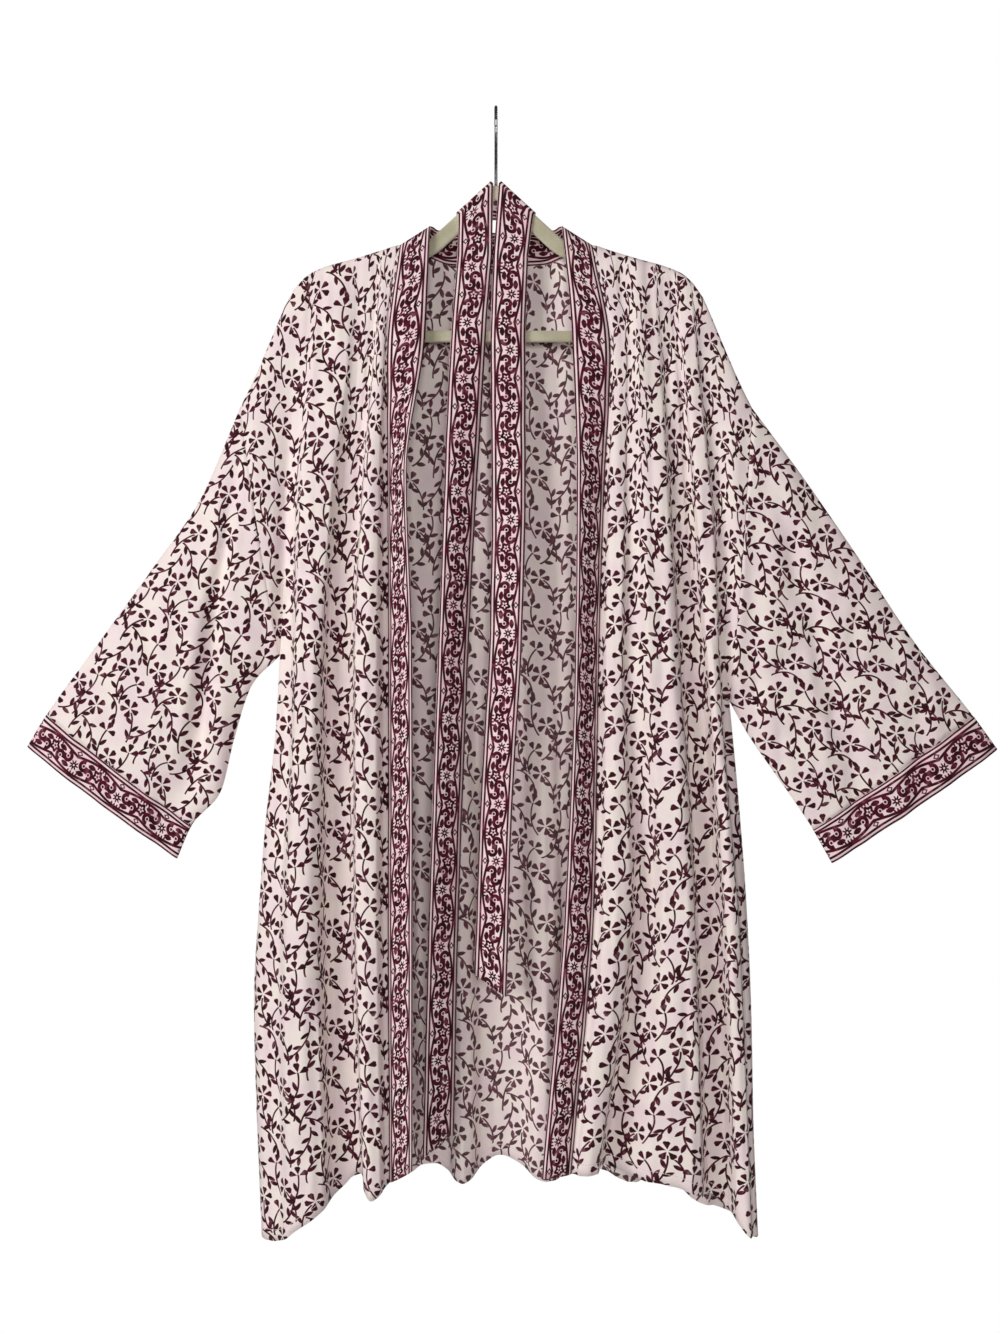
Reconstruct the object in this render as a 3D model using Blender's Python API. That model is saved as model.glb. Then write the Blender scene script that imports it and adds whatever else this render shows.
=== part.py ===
"""Kimono robe hanging on a slim hanger, with its belt hung behind the hook.

The origin is where the rail lies, at the inside top of the hook. The front of the robe
faces -Y and Z points up. Cloth pieces are thin walls made from grids of points: each row
is a section across the piece and each fold is a line that runs down it.
"""
from collections import namedtuple
from math import atan2, cos, pi, radians, sin, sqrt, tan

import bmesh
import bpy
from mathutils import Vector

# Driving sizes, in metres.
CLOTH_WALL = 0.0012
DOUBLE_WALL = 0.0020
SEAM_GAP = 0.0003
NECK_SEAM_GAP = 0.0007
SHOULDER_ROLL = 0.009
COLLAR_TOP = -0.128
COLLAR_HALF = 0.105
COLLAR_LEAN = 0.033
COLLAR_TURN = 0.020
ARMHOLE_X = 0.281
ARMHOLE_Z = -0.327
ARMHOLE_OUT = 0.016
BELT_WIDTH = 0.038
HANGER_HALF_THICKNESS = 0.0025
HANGER_ARM_WIDTH = 0.017
HANGER_BAR_WIDTH = 0.013
HANGER_NECK_TOP = -0.083
HANGER_NECK_RADIUS = 0.020
HANGER_NECK_SLOPE = radians(42.5)
HANGER_ARM_SLOPE = radians(13)
HANGER_SEAT_X = 0.155
HANGER_TIP_RADIUS = 0.041
HANGER_TIP_X = 0.190
HANGER_FILLET = 0.012
HOOK_WIRE = 0.0035
HOOK_INSIDE_RADIUS = 0.01975
MM = 0.001

# Shares of the drop from shoulder to hem at which the fold lines below are stated:
# shoulder, collar, chest, waist, hip and hem.
LEVELS = (0.0, 0.12, 0.27, 0.45, 0.70, 1.0)

# Rows of the panels: shares of the armhole, then shares of the side seam under it.
ARMHOLE_ROWS = (0.0, 0.003, 0.012, 0.03, 0.07, 0.14, 0.22, 0.31, 0.40, 0.49,
                0.58, 0.67, 0.76, 0.84, 0.91, 0.96, 0.99, 1.0)
SKIRT_ROWS = (0.05, 0.14, 0.27, 0.41, 0.55, 0.69, 0.83, 0.93, 1.0)
EDGE_PARTS = 4
FOLD_PARTS = 3
Edge = namedtuple("Edge", "drop x z out below")

# A fold line in millimetres at the six levels: how far from the middle, and how far out
# from the plane of the hanger.
Fold = namedtuple("Fold", "name x out")
LEFT_FRONT = (
    Fold("armhole crease", x=(210, 222, 231, 232, 246, 246), out=(7, 9, 9, 12, 20, 22)),
    Fold("outer roll", x=(175, 180, 205, 205, 213, 212), out=(7, 14, 22, 30, 36, 42)),
    Fold("long valley", x=(128, 134, 151, 164, 163, 149), out=(7, 11, 13, 9, 7, 9)),
    Fold("inner roll", x=(117, 126, 134, 140, 140, 134), out=(7, 13, 20, 28, 34, 38)),
    Fold("band seam", x=(105, 119, 118, 117, 117, 115), out=(7, 10, 9, 10, 15, 22)),
)
LEFT_OPENING = Fold("free edge", x=(72, 77, 96, 90, 89, 89), out=(10, 14, 32, 36, 40, 46))
RIGHT_FRONT = (
    Fold("armhole crease", x=(217, 230, 245, 249, 269, 281), out=(7, 9, 10, 12, 16, 16)),
    Fold("side roll", x=(205, 213, 226, 238, 257, 270), out=(8, 13, 18, 22, 26, 28)),
    Fold("long valley", x=(190, 200, 203, 216, 236, 252), out=(7, 10, 11, 8, 6, 6)),
    Fold("middle roll", x=(160, 165, 166, 172, 194, 185), out=(7, 15, 22, 28, 32, 38)),
    Fold("low valley", x=(130, 147, 143, 140, 160, 113), out=(7, 13, 19, 23, 17, 5)),
    Fold("inner roll", x=(116, 135, 130, 127, 128, 95), out=(7, 14, 20, 26, 34, 42)),
    Fold("band seam", x=(105, 125, 118, 112, 107, 81), out=(7, 11, 10, 10, 19, 34)),
)
RIGHT_OPENING = Fold("free edge", x=(72, 83, 87, 85, 75, 49), out=(10, 14, 30, 36, 40, 46))
BACK = (
    Fold("left roll", x=(-222, -224, -226, -226, -230, -234), out=(7, 14, 20, 24, 28, 32)),
    Fold("left valley", x=(-190, -190, -190, -188, -186, -182), out=(7, 12, 15, 14, 13, 12)),
    Fold("left pleat", x=(-150, -150, -150, -148, -146, -140), out=(7, 15, 22, 28, 34, 40)),
    Fold("left collar", x=(-105, -112, -112, -110, -104, -100), out=(7, 13, 16, 17, 15, 12)),
    Fold("left neck", x=(-75, -76, -76, -74, -72, -69), out=(16, 20, 24, 28, 32, 34)),
    Fold("inner ridge", x=(-40, -42, -43, -42, -40, -37), out=(21, 22, 22, 20, 14, 8)),
    Fold("middle", x=(0, -1, -2, -1, 1, 4), out=(23, 25, 26, 29, 34, 40)),
    Fold("right ridge", x=(40, 44, 46, 50, 54, 56), out=(21, 21, 21, 20, 17, 13)),
    Fold("right neck", x=(75, 84, 88, 92, 98, 102), out=(16, 20, 24, 28, 34, 40)),
    Fold("right collar", x=(105, 118, 122, 128, 137, 146), out=(7, 13, 16, 16, 14, 12)),
    Fold("right pleat", x=(150, 158, 164, 172, 182, 192), out=(7, 15, 22, 28, 36, 42)),
    Fold("right valley", x=(188, 194, 198, 206, 214, 226), out=(7, 12, 15, 16, 14, 12)),
    Fold("right roll", x=(222, 227, 232, 238, 251, 264), out=(7, 14, 20, 24, 28, 32)),
)

# Upper edge of the cloth from the middle of the back neck along the shoulder.
Top = namedtuple("Top", "x z")
SHOULDER = (
    Top(0.000, -0.1670), Top(0.050, -0.1650), Top(0.080, -0.1560), Top(0.095, -0.1495),
    Top(0.105, -0.1490), Top(0.125, -0.1545), Top(0.155, -0.1637), Top(0.185, -0.1720),
    Top(0.203, -0.1795), Top(0.217, -0.1915), Top(0.2266, -0.205), Top(0.2415, -0.239),
    Top(0.2655, -0.295), Top(ARMHOLE_X, ARMHOLE_Z),
)

# Side seam from the underarm to the hem, and hem height from the middle outwards.
Side = namedtuple("Side", "z x")
LEFT_SIDE = (
    Side(-0.600, 0.2375), Side(-0.692, 0.243), Side(-0.784, 0.2535), Side(-0.869, 0.260),
    Side(-0.979, 0.266), Side(-1.100, 0.263), Side(-1.232, 0.257),
)
RIGHT_SIDE = (
    Side(-0.650, 0.2565), Side(-0.774, 0.268), Side(-0.869, 0.275), Side(-0.979, 0.280),
    Side(-1.126, 0.283), Side(-1.234, 0.2875),
)
Hem = namedtuple("Hem", "x z")
LEFT_HEM = (
    Hem(0.090, -1.150), Hem(0.115, -1.170), Hem(0.134, -1.184), Hem(0.149, -1.166),
    Hem(0.170, -1.184), Hem(0.212, -1.214), Hem(0.240, -1.233), Hem(0.257, -1.232),
)
RIGHT_HEM = (
    Hem(0.050, -1.158), Hem(0.107, -1.156), Hem(0.140, -1.163), Hem(0.190, -1.169),
    Hem(0.235, -1.190), Hem(0.258, -1.210), Hem(0.275, -1.229), Hem(0.2875, -1.234),
)
BACK_HEM = (
    Hem(-0.257, -1.232), Hem(-0.234, -1.222), Hem(-0.182, -1.192), Hem(-0.100, -1.174),
    Hem(-0.069, -1.170), Hem(-0.037, -1.184), Hem(0.004, -1.163), Hem(0.056, -1.184),
    Hem(0.102, -1.178), Hem(0.192, -1.194), Hem(0.264, -1.224), Hem(0.2875, -1.234),
)

# Sleeve sections from the armhole to the cuff seam: the upper and lower edges, how far the
# cloth stands out, and where a valley runs across the front and how deep it is. The last
# row is the free end of the cuff.
Sleeve = namedtuple("Sleeve", "share top_x top_z low_x low_z out valley depth")
LEFT_SLEEVE = (
    Sleeve(0.00, 0.281, -0.327, 0.2375, -0.600, 0.016, 0.12, 0.000),
    Sleeve(0.25, 0.326, -0.430, 0.2680, -0.632, 0.017, 0.42, 0.007),
    Sleeve(0.50, 0.376, -0.502, 0.2880, -0.692, 0.017, 0.66, 0.010),
    Sleeve(0.75, 0.434, -0.582, 0.3030, -0.750, 0.015, 0.78, 0.008),
    Sleeve(1.00, 0.494, -0.665, 0.3350, -0.787, 0.012, 0.86, 0.004),
    Sleeve(1.15, 0.515, -0.700, 0.3510, -0.823, 0.012, 0.88, 0.003),
)
RIGHT_SLEEVE = (
    Sleeve(0.00, 0.281, -0.327, 0.2565, -0.650, 0.016, 0.12, 0.000),
    Sleeve(0.25, 0.337, -0.403, 0.2780, -0.688, 0.016, 0.27, 0.003),
    Sleeve(0.50, 0.397, -0.490, 0.3020, -0.723, 0.015, 0.45, 0.005),
    Sleeve(0.75, 0.460, -0.585, 0.3260, -0.757, 0.014, 0.60, 0.004),
    Sleeve(1.00, 0.525, -0.667, 0.3487, -0.791, 0.012, 0.70, 0.003),
    Sleeve(1.15, 0.551, -0.703, 0.3696, -0.828, 0.012, 0.72, 0.002),
)
SLEEVE_RINGS = (0.0, 0.05, 0.13, 0.22, 0.32, 0.43, 0.54, 0.65, 0.76, 0.88, 1.0)
CUFF_RINGS = (1.0, 1.05, 1.10, 1.15)
VALLEY_HALF_WIDTH = 0.17

# Falls of the belt from the hanger down: the middle line and how far the flat is turned.
Fall = namedtuple("Fall", "z x y turn")
LEFT_FALL = (
    Fall(-0.160, -0.0250, -0.0039, 0), Fall(-0.253, -0.0315, -0.0060, 3),
    Fall(-0.420, -0.0390, -0.0100, 24), Fall(-0.583, -0.0462, -0.0120, 32),
    Fall(-0.913, -0.0580, -0.0120, 34), Fall(-1.134, -0.0630, -0.0120, 30),
)
RIGHT_FALL = (
    Fall(-0.160, 0.0205, -0.0039, 0), Fall(-0.253, 0.0165, -0.0060, -3),
    Fall(-0.420, 0.0140, -0.0100, -15), Fall(-0.583, 0.0108, -0.0120, -22),
    Fall(-0.700, 0.0040, -0.0120, -24), Fall(-0.800, -0.0010, -0.0120, -24),
    Fall(-0.960, -0.0060, -0.0120, -22),
)
BELT_END_SLANT = 0.022
FALL_SECTIONS = 13


def mix(a, b, share):
    return a + (b - a) * share


def quarter(share):
    """Height of a quarter round, from nothing at 0 to full at 1."""
    share = min(1.0, max(0.0, share))
    return sqrt(1 - (1 - share) ** 2)


def ease(share):
    share = min(1.0, max(0.0, share))
    return share * share * (3 - 2 * share)


def wave(share):
    return (1 - cos(pi * share)) / 2


def lens(share):
    """Height of a flat oval, from one end at 0 to the other at 1."""
    return sqrt(max(0.0, 4 * share * (1 - share)))


def smooth(places, values, at):
    """Value at one place on the smooth line through all the stated ones, with no overshoot."""
    if places[0] > places[-1]:
        places = places[::-1]
        values = values[::-1]
    at = min(places[-1], max(places[0], at))
    k = 0
    while k < len(places) - 2 and at > places[k + 1]:
        k += 1
    steps = [b - a for a, b in zip(places, places[1:])]
    rises = [(b - a) / s for a, b, s in zip(values, values[1:], steps)]

    def slope(i):
        if i == 0:
            return rises[0]
        if i == len(places) - 1:
            return rises[-1]
        before, after = rises[i - 1], rises[i]
        return 0.0 if before * after <= 0 else 2 * before * after / (before + after)

    t = (at - places[k]) / steps[k]
    h = steps[k]
    return ((1 + 2 * t) * (1 - t) ** 2 * values[k] + t * (1 - t) ** 2 * h * slope(k)
            + t * t * (3 - 2 * t) * values[k + 1] + t * t * (t - 1) * h * slope(k + 1))


def column(rows, key, name, at):
    return smooth([getattr(r, key) for r in rows], [getattr(r, name) for r in rows], at)


def fold_x(fold, drop):
    return smooth(LEVELS, fold.x, drop) * MM


def fold_out(fold, drop):
    return smooth(LEVELS, fold.out, drop) * MM


def shoulder_z(x):
    return column(SHOULDER, "x", "z", abs(x))


def normals_of(grid, closed):
    """Outward directions of a grid whose rows run down and whose columns run to the right."""
    last = len(grid) - 1
    wide = len(grid[0])
    found = []
    for i, row in enumerate(grid):
        line = []
        for j in range(wide):
            down = grid[min(i + 1, last)][j] - grid[max(i - 1, 0)][j]
            if closed:
                across = row[(j + 1) % wide] - row[j - 1]
            else:
                across = row[min(j + 1, wide - 1)] - row[max(j - 1, 0)]
            line.append(down.cross(across).normalized())
        found.append(line)
    return found


def flatten(normal):
    """The same direction without its part through the robe, for edges that meet at a seam."""
    return Vector((normal.x, 0, normal.z)).normalized()


def finish_object(name, bm, colour, roughness, metallic=0.0):
    bmesh.ops.recalc_face_normals(bm, faces=bm.faces[:])
    mesh = bpy.data.meshes.new(name)
    bm.to_mesh(mesh)
    bm.free()
    obj = bpy.data.objects.new(name, mesh)
    bpy.context.collection.objects.link(obj)
    dress(obj, name, colour, roughness, metallic)
    return obj


def dress(obj, name, colour, roughness, metallic):
    material = bpy.data.materials.new(name)
    material.use_nodes = True
    shader = material.node_tree.nodes["Principled BSDF"]
    shader.inputs["Base Color"].default_value = (*colour, 1)
    shader.inputs["Roughness"].default_value = roughness
    shader.inputs["Metallic"].default_value = metallic
    obj.data.materials.append(material)


def wall(name, grid, normals, outside, inside, colour, closed=False):
    """A closed sheet on a grid: its two faces and the rims that join them."""
    bm = bmesh.new()
    faces = []
    for reach in (outside, -inside):
        faces.append([[bm.verts.new(p + n * reach) for p, n in zip(row, line)]
                      for row, line in zip(grid, normals)])
    tall = len(grid)
    wide = len(grid[0])
    spans = range(wide if closed else wide - 1)

    def quad(a, b, c, d):
        bm.faces.new((a, b, c))
        bm.faces.new((a, c, d))

    for face in faces:
        for i in range(tall - 1):
            for j in spans:
                k = (j + 1) % wide
                quad(face[i][j], face[i][k], face[i + 1][k], face[i + 1][j])
    outer, inner = faces
    for i in (0, tall - 1):
        for j in spans:
            k = (j + 1) % wide
            quad(outer[i][j], outer[i][k], inner[i][k], inner[i][j])
    if not closed:
        for j in (0, wide - 1):
            for i in range(tall - 1):
                quad(outer[i][j], outer[i + 1][j], inner[i + 1][j], inner[i][j])
    return finish_object(name, bm, colour, 0.85)


def side_edge(side_rows, hem_z):
    """Rows of a panel's outer edge, down the armhole and then down the side seam."""
    under = side_rows[0]
    under_drop = (under.z - ARMHOLE_Z) / (hem_z - ARMHOLE_Z)
    edge = []
    for share in ARMHOLE_ROWS:
        edge.append(Edge(drop=share * under_drop, x=mix(ARMHOLE_X, under.x, share),
                         z=mix(ARMHOLE_Z, under.z, share), out=ARMHOLE_OUT * lens(share),
                         below=ease((share - 0.75) / 0.25)))
    for share in SKIRT_ROWS:
        z = mix(under.z, hem_z, share)
        edge.append(Edge(drop=mix(under_drop, 1.0, share), x=column(side_rows, "z", "x", z),
                         z=z, out=0.0, below=1.0))
    return edge


def edge_stretch(edge, fold, side_hem, fold_hem):
    """Points from a panel's outer edge to its first fold, rolled over as a quarter round."""
    points = [(edge.x, edge.out, edge.z)]
    for k in range(1, EDGE_PARTS):
        turn = pi / 2 * k / EDGE_PARTS
        share = 1 - cos(turn)
        top = shoulder_z(mix(ARMHOLE_X, fold_x(fold, 0.0), share))
        z = mix(top, mix(side_hem, fold_hem, share), edge.drop)
        roll = quarter(edge.drop * (top - fold_hem) / SHOULDER_ROLL)
        rise = mix(wave(share), sin(turn), edge.below)
        points.append((mix(edge.x, fold_x(fold, edge.drop), share),
                       mix(edge.out, fold_out(fold, edge.drop) * roll, rise), z))
    return points


def fold_point(a, b, share, drop, hem_rows, rolled=1.0):
    """One point between two fold lines: a soft wave from the one to the other."""
    top_x = mix(fold_x(a, 0.0), fold_x(b, 0.0), share)
    hem_x = mix(fold_x(a, 1.0), fold_x(b, 1.0), share)
    top = shoulder_z(top_x)
    z = mix(top, column(hem_rows, "x", "z", hem_x), drop)
    roll = mix(1.0, quarter((top - z) / SHOULDER_ROLL), rolled)
    out = mix(fold_out(a, drop), fold_out(b, drop), wave(share)) * roll
    return mix(fold_x(a, drop), fold_x(b, drop), share), out, z


def front_grid(side, folds, side_rows, hem_rows):
    """Rows of one front, from its outer edge to the band seam."""
    side_hem = hem_rows[-1].z
    fold_hem = column(hem_rows, "x", "z", fold_x(folds[0], 1.0))
    rows = []
    for edge in side_edge(side_rows, side_hem):
        points = edge_stretch(edge, folds[0], side_hem, fold_hem)
        for a, b in zip(folds, folds[1:]):
            for k in range(FOLD_PARTS):
                points.append(fold_point(a, b, k / FOLD_PARTS, edge.drop, hem_rows))
        points.append(fold_point(folds[-2], folds[-1], 1.0, edge.drop, hem_rows))
        rows.append([Vector((side * x, -out - SEAM_GAP / 2, z)) for x, out, z in points])
    return rows


def back_grid():
    """Rows of the back, from its left edge to its right one."""
    mirrored = Fold("left roll", tuple(-x for x in BACK[0].x), BACK[0].out)
    left_hem = column(BACK_HEM, "x", "z", fold_x(BACK[0], 1.0))
    right_hem = column(BACK_HEM, "x", "z", fold_x(BACK[-1], 1.0))
    rows = []
    for left, right in zip(side_edge(LEFT_SIDE, BACK_HEM[0].z),
                           side_edge(RIGHT_SIDE, BACK_HEM[-1].z)):
        points = [(-x, out, z) for x, out, z in
                  edge_stretch(left, mirrored, BACK_HEM[0].z, left_hem)]
        for n, (a, b) in enumerate(zip(BACK, BACK[1:])):
            last = n == len(BACK) - 2
            for k in range(FOLD_PARTS + last):
                share = k / FOLD_PARTS
                top_x = mix(fold_x(a, 0.0), fold_x(b, 0.0), share)
                drop = mix(left.drop, right.drop, (top_x + ARMHOLE_X) / (2 * ARMHOLE_X))
                rolled = 1 - ease((COLLAR_HALF - abs(top_x)) / COLLAR_TURN)
                points.append(fold_point(a, b, share, drop, BACK_HEM, rolled))
        points += edge_stretch(right, BACK[-1], BACK_HEM[-1].z, right_hem)[::-1]
        rows.append([Vector((x, out + SEAM_GAP / 2, z)) for x, out, z in points])
    return rows


def aside(point, toward, normal, gap=SEAM_GAP):
    """The point moved a seam's gap along the cloth, square to its outward direction."""
    along = toward - point
    along -= normal * along.dot(normal)
    return point + along.normalized() * gap


def tube_normals(rings, side):
    return [[n * -side for n in line] for line in normals_of(rings, True)]


def sleeve_ring(rows, side, share):
    """One section of a sleeve, down the front and up the back, from the upper edge."""
    top = Vector((column(rows, "share", "top_x", share), 0, column(rows, "share", "top_z", share)))
    low = Vector((column(rows, "share", "low_x", share), 0, column(rows, "share", "low_z", share)))
    out = column(rows, "share", "out", share)
    valley = column(rows, "share", "valley", share)
    depth = column(rows, "share", "depth", share)
    points = []
    for face in (-1, 1):
        shares = ARMHOLE_ROWS[:-1] if face < 0 else ARMHOLE_ROWS[:0:-1]
        for s in shares:
            place = top.lerp(low, s)
            reach = out * lens(s)
            dent = depth * (1 if face < 0 else 0.6)
            middle = valley if face < 0 else 1 - valley
            reach -= dent * wave(max(0.0, 1 - abs(s - middle) / VALLEY_HALF_WIDTH))
            points.append(Vector((side * place.x, face * reach, place.z)))
    return points


CLOTH_COLOUR = (0.87, 0.76, 0.74)
BORDER_COLOUR = (0.62, 0.40, 0.42)
HANGER_COLOUR = (0.50, 0.46, 0.32)
STEEL_COLOUR = (0.55, 0.55, 0.55)

for old in list(bpy.data.objects):
    bpy.data.objects.remove(old)

# The two fronts and the back.
fronts = {
    -1: front_grid(-1, LEFT_FRONT, LEFT_SIDE, LEFT_HEM),
    1: front_grid(1, RIGHT_FRONT, RIGHT_SIDE, RIGHT_HEM),
}
back = back_grid()
front_normals = {s: [[n * -s for n in line] for line in normals_of(grid, False)]
                 for s, grid in fronts.items()}
back_normals = [[-n for n in line] for line in normals_of(back, False)]
arm_last = len(ARMHOLE_ROWS) - 1
for s in (-1, 1):
    front_normals[s][0] = [flatten(n) for n in front_normals[s][0]]
    for i in range(arm_last, len(back)):
        front_normals[s][i][0] = flatten(front_normals[s][i][0])
back_names = [fold.name for fold in BACK]
collar_left = EDGE_PARTS + FOLD_PARTS * back_names.index("left collar")
collar_middle = EDGE_PARTS + FOLD_PARTS * back_names.index("middle")
collar_right = EDGE_PARTS + FOLD_PARTS * back_names.index("right collar")
for j in range(len(back[0])):
    if not collar_left < j < collar_right:
        back_normals[0][j] = flatten(back_normals[0][j])
for i in range(arm_last, len(back)):
    back_normals[i][0] = flatten(back_normals[i][0])
    back_normals[i][-1] = flatten(back_normals[i][-1])

# Sleeves and cuffs: each sleeve starts from the armhole edges of the front and the back.
for s, name, rows in ((-1, "left", LEFT_SLEEVE), (1, "right", RIGHT_SLEEVE)):
    back_column = 0 if s < 0 else -1
    seam = [row[0] for row in fronts[s][:arm_last]]
    seam += [row[back_column] for row in back[arm_last:0:-1]]
    for k in (0, arm_last):
        seam[k] = Vector((seam[k].x, 0, seam[k].z))
    rings = [seam] + [sleeve_ring(rows, s, share) for share in SLEEVE_RINGS[1:]]
    normals = tube_normals(rings, s)
    for i in range(arm_last + 1):
        places = [(front_normals[s], i, 0, i), (back_normals, i, back_column, -i)]
        if i in (0, arm_last):
            panels = front_normals[s][i][0] + back_normals[i][back_column]
            shared = flatten(panels + 2 * normals[0][i])
            normals[0][i] = shared
            front_normals[s][i][0] = shared
            back_normals[i][back_column] = shared
            continue
        for panel, row, end, k in places:
            shared = (panel[row][end] + normals[0][k]).normalized()
            normals[0][k] = shared
            panel[row][end] = shared
    rings[0] = [aside(p, q, n) for p, q, n in zip(rings[0], rings[1], normals[0])]
    wall("sleeve_" + name, rings, normals, 0, CLOTH_WALL, CLOTH_COLOUR, closed=True)
    cuff = [sleeve_ring(rows, s, share) for share in CUFF_RINGS]
    normals = tube_normals(cuff, s)
    cuff[0] = [aside(p, q, n) for p, q, n in zip(cuff[0], cuff[1], normals[0])]
    wall("cuff_" + name, cuff, normals, 0.0004, DOUBLE_WALL - 0.0004, BORDER_COLOUR, closed=True)
# The band: up each front edge, over the shoulder and round the back neck to the middle.
for s, name, opening, side_rows, hem_rows in (
    (-1, "left", LEFT_OPENING, LEFT_SIDE, LEFT_HEM),
    (1, "right", RIGHT_OPENING, RIGHT_SIDE, RIGHT_HEM),
):
    neck = range(collar_middle, collar_left if s < 0 else collar_right, s)
    seams = [(back[0][j], back_normals[0], j) for j in neck]
    frees = []
    for seam, _, _ in seams:
        far = abs(seam.x) / COLLAR_HALF
        inward = abs(seam.x) - COLLAR_LEAN * far * far
        frees.append(Vector((s * inward, seam.y * (1 - 0.15 * far), COLLAR_TOP)))
    hem_z = column(hem_rows, "x", "z", fold_x(opening, 1.0))
    for i, edge in enumerate(side_edge(side_rows, hem_rows[-1].z)):
        z = mix(COLLAR_TOP, hem_z, edge.drop)
        out = fold_out(opening, edge.drop) * quarter((COLLAR_TOP - z) / (2 * SHOULDER_ROLL))
        seams.append((fronts[s][i][-1], front_normals[s][i], -1))
        frees.append(Vector((s * fold_x(opening, edge.drop), -out, z)))
    rows = [[seam.lerp(free, q / 3) for q in range(4)] for (seam, _, _), free in zip(seams, frees)]
    normals = [[n * -s for n in line] for line in normals_of(rows, False)]
    normals[0] = [Vector((0, n.y, n.z)).normalized() for n in normals[0]]
    for row, line, (seam, panel, j) in zip(rows, normals, seams):
        shared = (line[0] + panel[j]).normalized()
        line[0] = shared
        panel[j] = shared
        row[0] = aside(row[0], row[1], shared, SEAM_GAP if j < 0 else NECK_SEAM_GAP)
    for point in rows[0]:
        point.x = s * SEAM_GAP / 2
    wall("band_" + name, rows, normals, 0.0004, DOUBLE_WALL - 0.0004, BORDER_COLOUR)

wall("front_left", fronts[-1], front_normals[-1], 0, CLOTH_WALL, CLOTH_COLOUR)
wall("front_right", fronts[1], front_normals[1], 0, CLOTH_WALL, CLOTH_COLOUR)
wall("back_panel", back, back_normals, 0, CLOTH_WALL, CLOTH_COLOUR)


def stadium(outer, across, width, half):
    """Section of the hanger: a flat bar with round edges, from its outer edge inwards."""
    points = []
    for centre, start in ((half, -90), (width - half, 90)):
        for step in range(5):
            angle = radians(start + 45 * step)
            reach = centre - cos(angle) * half
            points.append(outer - across * reach + Vector((0, sin(angle) * half, 0)))
    return points


def hanger_outline():
    """Outer edge of the right half of the hanger as (point, outward, width), neck to bar."""
    slope = HANGER_NECK_SLOPE
    seat = CLOTH_WALL + SEAM_GAP
    a = Vector((HANGER_SEAT_X, 0, shoulder_z(HANGER_SEAT_X) - seat))
    b = Vector((HANGER_TIP_X, 0, shoulder_z(HANGER_TIP_X) - seat))
    fall = atan2(a.z - b.z, b.x - a.x)
    arm = HANGER_ARM_SLOPE
    outline = []
    centre = Vector((0, 0, HANGER_NECK_TOP - HANGER_NECK_RADIUS))
    for step in range(4):
        angle = slope * step / 3
        outward = Vector((sin(angle), 0, cos(angle)))
        outline.append((centre + outward * HANGER_NECK_RADIUS, outward, HANGER_ARM_WIDTH))
    start = outline[-1][0]
    rise = (start.z + start.x * tan(slope)) - (a.z + a.x * tan(arm))
    corner_x = rise / (tan(slope) - tan(arm))
    corner = Vector((corner_x, 0, a.z + (a.x - corner_x) * tan(arm)))
    before = corner - Vector((cos(slope), 0, -sin(slope))) * HANGER_FILLET
    after = corner + Vector((cos(arm), 0, -sin(arm))) * HANGER_FILLET
    for step in range(5):
        share = step / 4
        angle = mix(slope, arm, share)
        point = before.lerp(corner, share).lerp(corner.lerp(after, share), share)
        outline.append((point, Vector((sin(angle), 0, cos(angle))), HANGER_ARM_WIDTH))
    outline.append((a, Vector((sin(fall), 0, cos(fall))), HANGER_ARM_WIDTH))
    centre = b - Vector((sin(fall), 0, cos(fall))) * HANGER_TIP_RADIUS
    for step in range(11):
        angle = mix(fall, pi, step / 10)
        outward = Vector((sin(angle), 0, cos(angle)))
        width = mix(HANGER_ARM_WIDTH, HANGER_BAR_WIDTH, ease(step / 10))
        outline.append((centre + outward * HANGER_TIP_RADIUS, outward, width))
    low = centre.z - HANGER_TIP_RADIUS
    outline.append((Vector((0.09, 0, low)), Vector((0, 0, -1)), HANGER_BAR_WIDTH))
    outline.append((Vector((0.0, 0, low)), Vector((0, 0, -1)), HANGER_BAR_WIDTH))
    return outline


# The hanger: arms, round tips and a bar in one loop.
right_half = hanger_outline()
left_half = [(Vector((-p.x, 0, p.z)), Vector((-n.x, 0, n.z)), w) for p, n, w in right_half]
loop = right_half + left_half[-2:0:-1]
sections = [stadium(p, n, w, HANGER_HALF_THICKNESS) for p, n, w in loop]
bm = bmesh.new()
made = [[bm.verts.new(p) for p in section] for section in sections]
for i, section in enumerate(made):
    following = made[(i + 1) % len(made)]
    for j in range(len(section)):
        k = (j + 1) % len(section)
        bm.faces.new((section[j], section[k], following[k]))
        bm.faces.new((section[j], following[k], following[j]))
finish_object("hanger_frame", bm, HANGER_COLOUR, 0.8)

# The hook: a straight stem that bends aside and then runs over the rail to its tip.
hook_radius = HOOK_INSIDE_RADIUS + HOOK_WIRE / 2
hook_centre = -HOOK_INSIDE_RADIUS
path = [(0.0, HANGER_NECK_TOP + SEAM_GAP), (0.0, -0.066)]
turn = radians(-52)
meet = (hook_radius * cos(turn), hook_centre + hook_radius * sin(turn))
for step in range(1, 6):
    share = step / 6
    lift = mix(-0.066, meet[1], share)
    path.append((meet[0] * ease(share), lift))
for step in range(17):
    angle = mix(turn, radians(195), step / 16)
    path.append((hook_radius * cos(angle), hook_centre + hook_radius * sin(angle)))
wire = bpy.data.curves.new("hanger_hook", "CURVE")
wire.dimensions = "3D"
wire.bevel_depth = HOOK_WIRE / 2
wire.bevel_resolution = 1
wire.use_fill_caps = True
spline = wire.splines.new("POLY")
spline.points.add(len(path) - 1)
for point, (y, z) in zip(spline.points, path):
    point.co = (0, y, z, 1)
hook = bpy.data.objects.new("hanger_hook", wire)
bpy.context.collection.objects.link(hook)
dress(hook, "hanger_hook", STEEL_COLOUR, 0.3, 1.0)


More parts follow.
